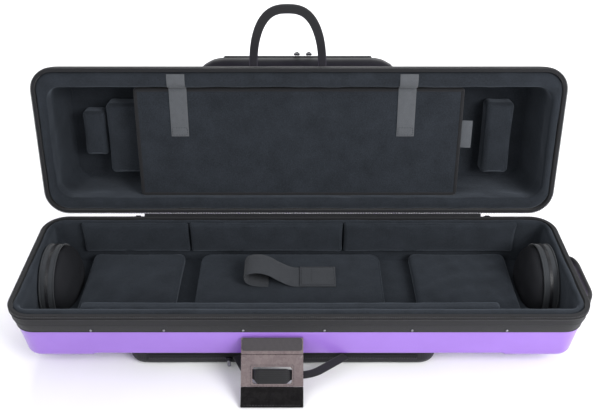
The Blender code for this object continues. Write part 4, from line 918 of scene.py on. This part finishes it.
def add_box():
    """Open plush box: walls up, over a half-round rim and down to its floor."""
    half_wall = BOX_WALL / 2
    height = BOX_HIGH[2] - BOX_LOW[2]
    rows = [(0.0, BOX_SLIT, 0.0), (0.0, 0.0, 0.0), (0.0, 0.0, height - half_wall)]
    for angle in np.linspace(0, math.pi, 9)[1:-1]:
        inset = half_wall * (1 - math.cos(angle))
        rows.append((inset, inset, height - half_wall * (1 - math.sin(angle))))
    rows += [(BOX_WALL, BOX_WALL, height - half_wall), (BOX_WALL, BOX_WALL, BOX_FLOOR + 0.001),
             (BOX_WALL + 0.001, BOX_WALL + 0.001, BOX_FLOOR), (BOX_WALL + 0.001, BOX_SLIT, BOX_FLOOR)]
    rings = []
    for end, side, level in rows:
        inset = np.array([end, side])
        rings.append(rounded_loop(BOX_LOW[:2] + inset, BOX_HIGH[:2] - inset, max(BOX_CORNER - side, 0.002),
                                  BOX_COUNTS, BOX_LOW[2] + level))
    add_grid("accessory_tray", np.stack(rings), "tray", PLUSH, ("accessory_box",), BOX_COUNTS)


def add_flap():
    """Plush-covered board over the box, piped along its edge."""
    pad = pad_grid(FLAP_LOW, FLAP_HIGH, 2, 1, 0.0005, corner=BOX_CORNER, edge=0.0018, draw_in=0.0,
                   dents=0.00025, seed=31)
    piece = add_block("accessory_cover", pad, "flap", PLUSH, "accessory_flap")
    inset = 0.0016
    path = rounded_loop(FLAP_LOW[:2] + inset, FLAP_HIGH[:2] - inset, BOX_CORNER - inset, (70, 40, 8),
                        FLAP_HIGH[2] - 0.0010)
    add_tube("accessory_cover_piping", path, 0.0011, "flap", PLUSH)


STRAP_THICKNESS = 0.002
# Side view of the curl, as shares of the strap's length and height
STRAP_SHARES = np.array([
    (1.00, 0.00), (0.62, 0.00), (0.50, 0.08), (0.38, 0.42), (0.26, 0.84), (0.14, 1.00),
    (0.03, 0.86), (0.00, 0.50), (0.05, 0.16), (0.15, 0.02), (0.26, 0.00),
])


def add_curled_strap():
    """Loop tape that lies flat under its patch and curls over at its free end."""
    low, _, middle, size = box_of("holding_strap")
    half = STRAP_THICKNESS / 2
    span = np.array([size[0] - half, size[2] - STRAP_THICKNESS])
    curve = smooth_curve(STRAP_SHARES * span + (low[[0, 2]] + half))
    path = resample(points_at(curve[:, 0], middle[1], curve[:, 1]), 0.0025)
    add_ribbon("curled_strap", path, (0, 1, 0), size[1], STRAP_THICKNESS, "flap", CURL_LOOP,
               ("holding_strap",))
    low, high, patch, size = box_of("strap_patch")
    path = points_at(np.linspace(low[0], high[0], 20), middle[1], patch[2])
    add_ribbon("strap_patch_tape", path, (0, 1, 0), *size[1:], "flap", CURL_LOOP, ("strap_patch",))
    border = rectangle(low[:2] + STITCH_INSET, high[:2] - STITCH_INSET, high[2])
    seam = points_at(low[0] + 0.020, np.array([low[1] + STITCH_INSET, high[1] - STITCH_INSET]), high[2])
    add_stitches("strap_patch_stitches", [border, seam], UP, "flap", CURL_LOOP)


def add_front_tab(name, node, droop):
    """Doubled loop tape that stands out of the front cushion and droops at its end."""
    low, high, middle, size = box_of(node)
    y = np.linspace(low[1], high[1], 12)
    path = points_at(middle[0], y, middle[2] - droop * ((y - low[1]) / size[1]) ** 2)
    add_ribbon(name, path, (1, 0, 0), size[0], size[2], "tray", LID_TAB, (node,))


add_box()
add_flap()
add_curled_strap()
add_front_tab("front_tab_tape_left", "tab_left", 0.001)
add_front_tab("front_tab_tape_right", "tab_right", 0.003)

# Mesh pouches at the tray's ends
POUCH_TAPE = 0.0022
POUCH_TOOTH = np.array([0.0008, 0.0026, 0.0008])
# Where the piping runs, as a share of the tape's width, and its radius
POUCH_PIPE_PLACE = 0.49
POUCH_PIPE = 0.0013
POUCH_PUCKER = 0.008
POUCH_ARC_POINTS = 80
POUCH_ROWS = 22
DOME_COLUMNS = 72


def add_mesh_pouch(word, side):
    """Half-round pouch: a zipped gusset of tape bent on a circle, and a mesh dome, both flat on the floor."""
    low, high, middle, size = box_of(f"pouch_ring_{word}")
    dome_low, dome_high, _, dome_size = box_of(f"pouch_{word}")
    radius = size[1] / 2
    centre = np.array([middle[1], high[2] - radius])
    band = radius - POUCH_TAPE / 2
    drop = math.asin((low[2] + POUCH_TAPE - centre[1]) / band)
    angle = np.linspace(drop, math.pi - drop, POUCH_ARC_POINTS)
    out = points_at(0.0, np.cos(angle), np.sin(angle))
    arc = points_at(middle[0], *centre) + band * out
    add_ribbon(f"pouch_gusset_{word}", arc, (1, 0, 0), size[0], POUCH_TAPE, "tray", TAPE,
               (f"pouch_ring_{word}",))
    coil = resample(arc + out * POUCH_TAPE * 0.55, 0.0024)
    ahead = unit(np.gradient(coil, axis=0))
    across = np.array([1.0, 0.0, 0.0])
    axes = np.stack([ahead, np.broadcast_to(across, ahead.shape), np.cross(ahead, across)], axis=1)
    add_blocks(f"pouch_zip_coil_{word}", coil, axes, POUCH_TOOTH, "tray", COIL)
    for number, place in enumerate((-POUCH_PIPE_PLACE, POUCH_PIPE_PLACE)):
        edge = arc + out * POUCH_TAPE * 0.5 + np.array([place * size[0], 0, 0])
        add_tube(f"pouch_piping_{word}_{number}", edge, POUCH_PIPE, "tray", TAPE, up=across, closed=False)
    base_x = dome_high[0] if side > 0 else dome_low[0]
    rise = np.linspace(0, math.pi / 2, POUCH_ROWS + 1)[:-1]
    turn = np.arange(DOME_COLUMNS) * 2 * math.pi / DOME_COLUMNS
    reach = radius - 0.003
    ring = reach * np.cos(rise)[:, None] ** 0.8
    pucker = 1 + POUCH_PUCKER * np.sin(9 * turn)[None, :] * np.cos(rise)[:, None] ** 4
    y = centre[0] + ring * pucker * np.cos(turn)
    z = np.maximum(centre[1] + ring * pucker * np.sin(turn), low[2])
    depth = dome_size[0] * np.sin(rise) ** 0.9
    points = points_at((base_x - side * depth)[:, None], y, z)
    points[..., 0] -= side * ripples(points[..., 1:], 0.03, 0.0006, 40) * np.sin(rise)[:, None]
    mesh = grid_mesh(f"pouch_mesh_{word}", points, "flat")
    arc_length = (radius * (math.pi / 2 - rise))[:, None]
    flat = np.stack([arc_length * np.cos(turn), arc_length * np.sin(turn)], axis=-1).reshape(-1, 2)
    corners = np.empty(len(mesh.loops), np.int32)
    mesh.loops.foreach_get("vertex_index", corners)
    mesh.uv_layers["Cloth"].data.foreach_set("uv", flat[corners].astype(np.float32).ravel())
    add_piece(f"pouch_mesh_{word}", mesh, "tray", SPACER, (f"pouch_{word}",))


add_mesh_pouch("left", -1)
add_mesh_pouch("right", 1)


# Rivets and the cloth welt at the hinge
RIVET_SHARE = 0.62
RIVET_EDGE = 0.0004


def add_rivet(number):
    """Domed rivet: rings of a flat cap whose height falls as the square root of 1 - r squared."""
    _, high, middle, size = box_of(f"tray_rivet_{number}")
    radius = size[0] / 2 * RIVET_SHARE
    share = np.array([0.02, 0.3, 0.55, 0.75, 0.9, 1.0, 1.0])
    height = np.append(np.sqrt(1 - share[:-1] ** 2) * size[1] + RIVET_EDGE, 0.0)
    turn = np.arange(20) * 2 * math.pi / 20
    reach = radius * share[:, None]
    points = points_at(middle[0] + reach * np.cos(turn), (high[1] - height)[:, None],
                       middle[2] + reach * np.sin(turn))
    add_grid(f"rivet_{number}", points, "tray", NICKEL, (f"tray_rivet_{number}",), "flat", smooth_angle=70)


for rivet_number in range(1, 7):
    add_rivet(rivet_number)

welt_low, welt_high, _, welt_size = box_of("hinge_welt")
welt_path = points_at(np.linspace(welt_low[0], welt_high[0], 120), HINGE[1], RIM_Z)
add_tube("hinge_cloth_welt", welt_path, welt_size[2] / 2, "tray", NYLON, ("hinge_welt",),
         sides=12, closed=False)

# Webbing handles
LID_SLOPE_PIVOT = LID_TURN.inverted() @ Vector(JOINTS["carry_handle_fold"]["pos_m"])
LID_STRAP_WIDTH = 0.0165
LID_STRAP_SPREAD = 0.004
ARCH_ACROSS = 0.74
ARCH_ALONG = 0.92
ARCH_WAVE = 0.0012


def add_lid_handle():
    """Flat webbing in an arch, its flat side in the arch's plane.

    The arch runs as a power of the cosine across and a power of the sine along. The strap is
    narrower at its ends and waves a little.
    """
    low, _, middle, size = box_of("lid_handle")
    half = (size[0] - LID_STRAP_WIDTH) / 2 + LID_STRAP_SPREAD
    reach = LID_SLOPE_PIVOT[1] - low[1] - LID_STRAP_WIDTH / 2
    angle = np.linspace(0, math.pi, 64)
    across = np.cos(angle)
    x = middle[0] + half * np.sign(across) * np.abs(across) ** ARCH_ACROSS
    y = LID_SLOPE_PIVOT[1] - reach * np.sin(angle) ** ARCH_ALONG
    path = resample(points_at(x, y, LID_SLOPE_PIVOT[2]), 0.004)
    side = unit(np.cross(np.gradient(path, axis=0), UP))
    lift = np.sin(np.linspace(0, math.pi, len(path)))
    path = path + UP * (ARCH_WAVE * np.sin(9 * lift) * lift)[:, None]
    width = LID_STRAP_WIDTH * (0.86 + 0.14 * lift)
    add_ribbon("carrying_strap", path, side, width, 0.0055, "carry_handle", WEBBING, ("lid_handle",))
    for place in (-0.36, 0.36):
        edge = path + side * (place * width)[:, None]
        for sign in (-1, 1):
            add_stitches(f"carrying_strap_stitches_{place}_{sign}", [edge[2:-2] + UP * (0.0027 * sign)], UP,
                         "carry_handle", WEBBING)


# The end strap's width at its foot, and what it gains per metre outwards
END_FOOT_WIDTH = 0.0034
END_FOOT_SPREAD = 0.8
END_INSET = 0.004
END_THICKNESS = 0.0075
END_CORNER = 0.028


def add_end_handle():
    """Padded webbing loop on the tray's right end, on a path with rounded corners."""
    low, high, (_, _, z), size = box_of("end_handle")
    out = high[0] - END_THICKNESS / 2
    start = low[0] + 0.0010
    near, far = low[1] + END_INSET, high[1] - END_INSET
    path = rounded_path([(start, near, z), (out, near, z), (out, far, z), (start, far, z)], END_CORNER, 0.004)
    wide = np.minimum(size[2], END_FOOT_WIDTH + END_FOOT_SPREAD * (path[:, 0] - start))
    add_ribbon("end_strap", path, (0, 0, 1), wide, END_THICKNESS, "side_handle", WEBBING, ("end_handle",))


add_lid_handle()
add_end_handle()

# Leather wrap round the tray handle, in its own plane: along X, up the wrap and out of its front face
WRAP_LEAN = math.radians(48)
WRAP_UP = np.array([0.0, math.cos(WRAP_LEAN), math.sin(WRAP_LEAN)])
WRAP_OUT = np.array([0.0, -math.sin(WRAP_LEAN), math.cos(WRAP_LEAN)])
WRAP_X = box_of("wrap_middle")[2][0]
WRAP_FACE = 0.003
WRAP_FOLD = np.array(JOINTS["wrap_low_fold"]["pos_m"])
WRAP_FOLD_LOW = 0.028
WRAP_FOOT = WRAP_FOLD * np.array([0, 1, 1]) - WRAP_UP * WRAP_FOLD_LOW - WRAP_OUT * WRAP_FACE
WRAP_FOLD_HIGH = 0.078
WRAP_TOP = 0.104
WRAP_HALF = 0.049
WINDOW_LOW = 0.0325
WINDOW_HIGH = 0.0585
WINDOW_HALF = 0.031
WRAP_SLIT = 0.00016
HOOK_HALF = 0.0475
HOOK_LOW = 0.0835
HOOK_HIGH = 0.1036
HOOK_PROUD = 0.002
LOW_LEAF_REACH = 0.0045
LOW_LEAF_LIFT = 0.0052


def wrap_place(points):
    """Points given along the wrap, up it and out of it, put in the tray's frame."""
    across = np.zeros(points.shape)
    across[..., 0] = WRAP_X + points[..., 0]
    return across + WRAP_FOOT + points[..., 1:2] * WRAP_UP + points[..., 2:3] * WRAP_OUT


def add_leaf(name, node, body, low, high, finish, bend=None, corner=0.0012, edge=0.0006):
    """Flat leaf of the wrap with soft edges, bent by a formula of its height if one is given."""
    points, counts = pad_grid(low, high, 2, 1, 0.0, corner=corner, edge=edge, draw_in=0.0, spacing=0.004)
    if bend:
        points = bend(points)
    points = points + ripples(points, 0.05, 0.0003, 61)[..., None] * UP
    add_block(name, (wrap_place(points), counts), body, finish, node)


def bend_low(points):
    """Draw the lower leaf forward along the table: its reach grows as the square of its share of length."""
    share = np.clip((WRAP_FOLD_LOW - points[..., 1]) / WRAP_FOLD_LOW, 0, 1)
    bent = points.copy()
    bent[..., 1] -= LOW_LEAF_REACH * share ** 2
    bent[..., 2] += LOW_LEAF_LIFT * share ** 2
    return bent


def add_wrap_middle():
    """Middle of the wrap round its window: a loop of rows from the outer edge to the window and back."""
    counts = (26, 14, 6)
    window = np.array([WINDOW_HALF, (WINDOW_HIGH - WINDOW_LOW) / 2])
    centre = np.array([0.0, (WINDOW_HIGH + WINDOW_LOW) / 2])
    outer_low = np.array([-WRAP_HALF, WRAP_FOLD_LOW + WRAP_SLIT])
    outer_high = np.array([WRAP_HALF, WRAP_FOLD_HIGH - WRAP_SLIT])
    outer = rounded_loop(outer_low, outer_high, 0.001, counts)
    inner = rounded_loop(centre - window, centre + window, 0.004, counts)
    soft, face = 0.0008, WRAP_FACE
    rows = ((0, soft), (0, face - soft), (0.03, face), (0.35, face), (0.7, face), (0.97, face),
            (1, face - soft), (1, soft), (0.97, 0.0), (0.5, 0.0), (0.03, 0.0))
    points = wrap_place(np.stack([outer + (inner - outer) * share + UP * level for share, level in rows]))
    add_grid("leather_middle", points, "wrapped_handle", LEATHER, ("wrap_middle",))
    margin = 0.003
    border = rectangle((-WINDOW_HALF - margin, WINDOW_LOW - margin),
                       (WINDOW_HALF + margin, WINDOW_HIGH + margin), WRAP_FACE)
    add_stitches("leather_window_stitches", [wrap_place(border)], WRAP_OUT, "wrapped_handle", LEATHER)


def add_wrap():
    """Three leaves of the wrap and the hook strip along its top."""
    add_wrap_middle()
    add_leaf("leather_top_leaf", "wrap_upper", "wrap_top_leaf", (-WRAP_HALF, WRAP_FOLD_HIGH + WRAP_SLIT, 0),
             (WRAP_HALF, WRAP_TOP, WRAP_FACE), LEATHER)
    # The lower leaf takes the copy of the leather with painted shade
    add_leaf("leather_low_leaf", "wrap_lower", "wrap_low_leaf", (-WRAP_HALF, 0.001, 0),
             (WRAP_HALF, WRAP_FOLD_LOW - WRAP_SLIT, WRAP_FACE), LEATHER_PAINTED_SHADE, bend_low)
    add_leaf("hook_strip", "wrap_hook_strip", "wrap_top_leaf", (-HOOK_HALF, HOOK_LOW, WRAP_FACE + GAP),
             (HOOK_HALF, HOOK_HIGH, WRAP_FACE + HOOK_PROUD), HOOKS, corner=0.004, edge=0.0007)
    edge = np.array([[-WRAP_HALF + 0.004, 0.0035, 0], [WRAP_HALF - 0.004, 0.0035, 0]])
    low = bend_low(resample(edge, 0.003)) + UP * WRAP_FACE
    add_stitches("leather_low_stitches", [wrap_place(low)], WRAP_OUT, "wrap_low_leaf", LEATHER)


TRAY_STRAP_WIDTH = 0.0155
GRIP_LEFT = -0.080
GRIP_RIGHT = 0.020


def add_tray_handle():
    """Webbing under the wrap: level at its ends, and brought forward and turned to fill the window."""
    low, high = extent("tray_handle")
    pivot = np.array(JOINTS["wrapped_handle_swing"]["pos_m"])
    wide = TRAY_STRAP_WIDTH
    left, right = low[0] + wide / 2, high[0] - wide / 2
    grip = low[1] + wide / 2
    corners = [(left, pivot[1], pivot[2]), (GRIP_LEFT, grip, pivot[2]), (GRIP_RIGHT, grip, pivot[2]),
               (right, pivot[1], pivot[2])]
    path = rounded_path(corners, 0.018, 0.003)
    off = np.abs(path[:, 0] - WRAP_X)
    front = smooth_step(-off, -WINDOW_HALF + 0.001, -WINDOW_HALF + 0.009) * (path[:, 1] < grip + 0.004)
    middle = wrap_place(np.array([0.0, (WINDOW_LOW + WINDOW_HIGH) / 2 - 0.0012, WRAP_FACE - 0.0005]))
    target = points_at(path[:, 0], middle[1], middle[2])
    target += 0.0016 * WRAP_OUT * (1 - (off / WINDOW_HALF)[:, None] ** 2).clip(0)
    path = path + (target - path) * front[:, None]
    turned = smooth_step(-off, -0.050, -0.034) * (path[:, 1] < grip + 0.006)
    level = unit(np.cross(UP, np.gradient(path, axis=0)))
    level *= -np.sign(level[:, 1:2] + 1e-9)
    across = level * (1 - turned[:, None]) - WRAP_UP * turned[:, None]
    add_ribbon("wrapped_webbing", path, across, wide + 0.0078 * front, 0.0035, "wrapped_handle",
               WEBBING, ("tray_handle",))


add_wrap()
add_tray_handle()


# Outer pockets: stuffed cloth cushions, piped round the face, each with a zip along its front wall
POCKET_EDGE = 0.009
POCKET_CROWN = 0.003
POCKET_PIPE = 0.0016
POCKET_TAPE = (0.011, 0.0010)
POCKET_TOOTH_PITCH = 0.0028
POCKET_TOOTH_SET = 0.0021
POCKET_TOOTH = np.array([0.0009, 0.0006, 0.0018])
METAL_CORNER = 0.0028
PULL_CROWN = 0.0003


def add_pocket(name, node, facing, corner, back_rise, seed):
    """Crowned cushion over the node's box, its top raised to the shell, and piping round its face."""
    low, high = extent(node)
    body = body_of_node(node)
    high[2] += back_rise
    points, counts = pad_grid(low, high, 2, facing, POCKET_CROWN, corner, POCKET_EDGE, draw_in=0.0,
                              dents=0.0012, seed=seed)
    if facing < 0:
        points[..., 2] = np.maximum(points[..., 2], low[2])
    piece = add_block(name, (points, counts), body, NYLON, node)
    inset = POCKET_EDGE * 0.3
    face = low[2] + POCKET_CROWN if facing < 0 else high[2] - POCKET_CROWN
    level = face - facing * POCKET_EDGE * 0.4
    path = rounded_loop(low[:2] + inset, high[:2] - inset, corner - inset, (120, 60, 12), level)
    path[:, 2] += ripples(path[:, :2], 0.11, 0.0006, seed + 1)
    add_tube(f"{name}_piping", path, POCKET_PIPE, body, PIPING)


def add_pocket_zip(name, node):
    """Woven tape on the pocket's front wall, with a row of teeth blocks along its middle."""
    low, high, (_, _, level), _ = box_of(node)
    body = body_of_node(node)
    path = points_at(np.linspace(low[0], high[0], 80), high[1] - POCKET_TAPE[1], level)
    add_ribbon(f"{name}_tape", path, (0, 0, 1), *POCKET_TAPE, body, NYLON, (node,))
    teeth_x = np.arange(low[0] + POCKET_TOOTH_PITCH, high[0], POCKET_TOOTH_PITCH)
    places = points_at(teeth_x, high[1] - POCKET_TOOTH_SET, level)
    axes = np.broadcast_to(np.eye(3), (len(places), 3, 3))
    add_blocks(f"{name}_teeth", places, axes, POCKET_TOOTH, body, TEETH)


def add_slider(name, node, facing):
    """Zip slider: a small crowned block with rounded edges."""
    pad = pad_grid(*extent(node), 1, facing, 0.0008, corner=METAL_CORNER, edge=0.0010, draw_in=0.0,
                   spacing=0.001)
    add_block(name, pad, body_of_node(node), GUNMETAL, node)


def add_pull(name, node, facing, finish):
    """Zip pull: a thin plate with round ends, and a raised oval rib on its face."""
    low, high = extent(node)
    body = body_of_node(node)
    pad = pad_grid(low, high, 1, facing, PULL_CROWN, corner=METAL_CORNER, edge=0.0005, draw_in=0.0,
                   spacing=0.001)
    add_block(name, pad, body, finish, node)
    inset = 0.0012
    front = low[1] if facing < 0 else high[1]
    loop = rounded_loop(low[[2, 0]] + inset, high[[2, 0]] - inset, 0.0016, (20, 6, 5),
                        front - facing * PULL_CROWN)
    add_tube(f"{name}_rib", loop[:, [1, 2, 0]], 0.0006, body, finish, up=(0, 1, 0))


add_pocket("base_pocket_cushion", "base_pocket", -1, 0.030, 0.0045, 61)
add_pocket("lid_pocket_cushion", "lid_pocket", 1, 0.060, 0.0, 63)
add_pocket_zip("base_pocket_zip", "base_pocket_zip")
add_pocket_zip("lid_pocket_zip", "lid_pocket_zip")
for word in ("base_pocket", "lid_pocket_left", "lid_pocket_right"):
    add_slider(f"{word}_slider_body", f"{word}_slider", -1)
for word in ("main_left", "main_right"):
    add_slider(f"{word}_slider_body", f"{word}_slider", 1)
    add_pull(f"{word}_pull_tag", f"{word}_pull", 1, GUNMETAL)
add_pull("base_pocket_pull_tag", "base_pocket_pull", -1, NICKEL)
for word in ("lid_pocket_left", "lid_pocket_right"):
    add_pull(f"{word}_pull_tag", f"{word}_pull", -1, GUNMETAL)


# Camera, light and floor
VIEW_PITCH = math.radians(34.8)
VIEW_DISTANCE = 1.412
VIEW_RISE = 0.0127
FIELD_OF_VIEW = 2 * math.atan(300 / 776.8)
VIEW_AIM = np.array([0.0018, HINGE[1], HINGE[2]])
FLOOR_HALF = 6.0


def add_camera():
    """Camera at the photograph's angle, looking down at the hinge line's middle."""
    camera = place_object("camera", bpy.data.cameras.new("camera"))
    ahead = np.array([0.0, math.cos(VIEW_PITCH), -math.sin(VIEW_PITCH)])
    up = np.array([0.0, math.sin(VIEW_PITCH), math.cos(VIEW_PITCH)])
    camera.location = VIEW_AIM - VIEW_DISTANCE * ahead + VIEW_RISE * up
    camera.rotation_euler = (math.pi / 2 - VIEW_PITCH, 0, 0)
    camera.data.sensor_fit = "HORIZONTAL"
    camera.data.angle = FIELD_OF_VIEW
    bpy.context.scene.camera = camera


def add_lamp(name, place, aim, size, power):
    """Square soft box that shines from a place towards a point."""
    lamp = bpy.data.lights.new(name, "AREA")
    lamp.shape = "SQUARE"
    lamp.size = size
    lamp.energy = power
    item = place_object(name, lamp)
    item.location = place
    item.rotation_euler = (Vector(aim) - Vector(place)).to_track_quat("-Z", "Y").to_euler()


def add_backdrop():
    """Pale floor that the camera sees as near white, and a white world behind it."""
    material, tree, shader = new_material("studio paper", Roughness=0.9, Specular_IOR_Level=0.1)
    two_tone(tree, shader, object_noise(tree, 0.4), ("#f1f1f2", "#f6f6f6"))
    mesh = bpy.data.meshes.new("floor")
    corners = [(-FLOOR_HALF, -FLOOR_HALF, 0), (FLOOR_HALF, -FLOOR_HALF, 0), (FLOOR_HALF, FLOOR_HALF, 0),
               (-FLOOR_HALF, FLOOR_HALF, 0)]
    mesh.from_pydata(corners, [], [(0, 1, 2, 3)])
    mesh.materials.append(material)
    floor = place_object("floor", mesh)
    world = bpy.data.worlds.new("studio")
    bpy.context.scene.world = world
    world.use_nodes = True
    tree = world.node_tree
    light = tree.nodes["Background"]
    light.inputs["Color"].default_value = linear("#f2f4f8")
    light.inputs["Strength"].default_value = 0.55
    white = add_node(tree, "ShaderNodeBackground", {"Color": linear("#fcfcfc"), "Strength": 1.0})
    rays = add_node(tree, "ShaderNodeLightPath")
    mix = add_node(tree, "ShaderNodeMixShader", {0: rays.outputs["Is Camera Ray"], 1: light.outputs[0],
                                                 2: white.outputs[0]})
    tree.links.new(mix.outputs[0], tree.nodes["World Output"].inputs["Surface"])


add_camera()
add_lamp("key", (1.5, -1.4, 1.4), (0.1, 0.1, 0.1), 1.2, 56)
add_lamp("fill", (-1.2, -1.5, 1.4), (0, 0.1, 0.1), 1.6, 16)
add_lamp("top", (0.1, 0.3, 2.4), (0, 0.1, 0.1), 1.6, 7)
add_lamp("paper", (0.0, 3.4, 2.6), (0, 2.6, 0), 3.0, 190)
add_backdrop()
bpy.context.scene.view_settings.view_transform = "Standard"
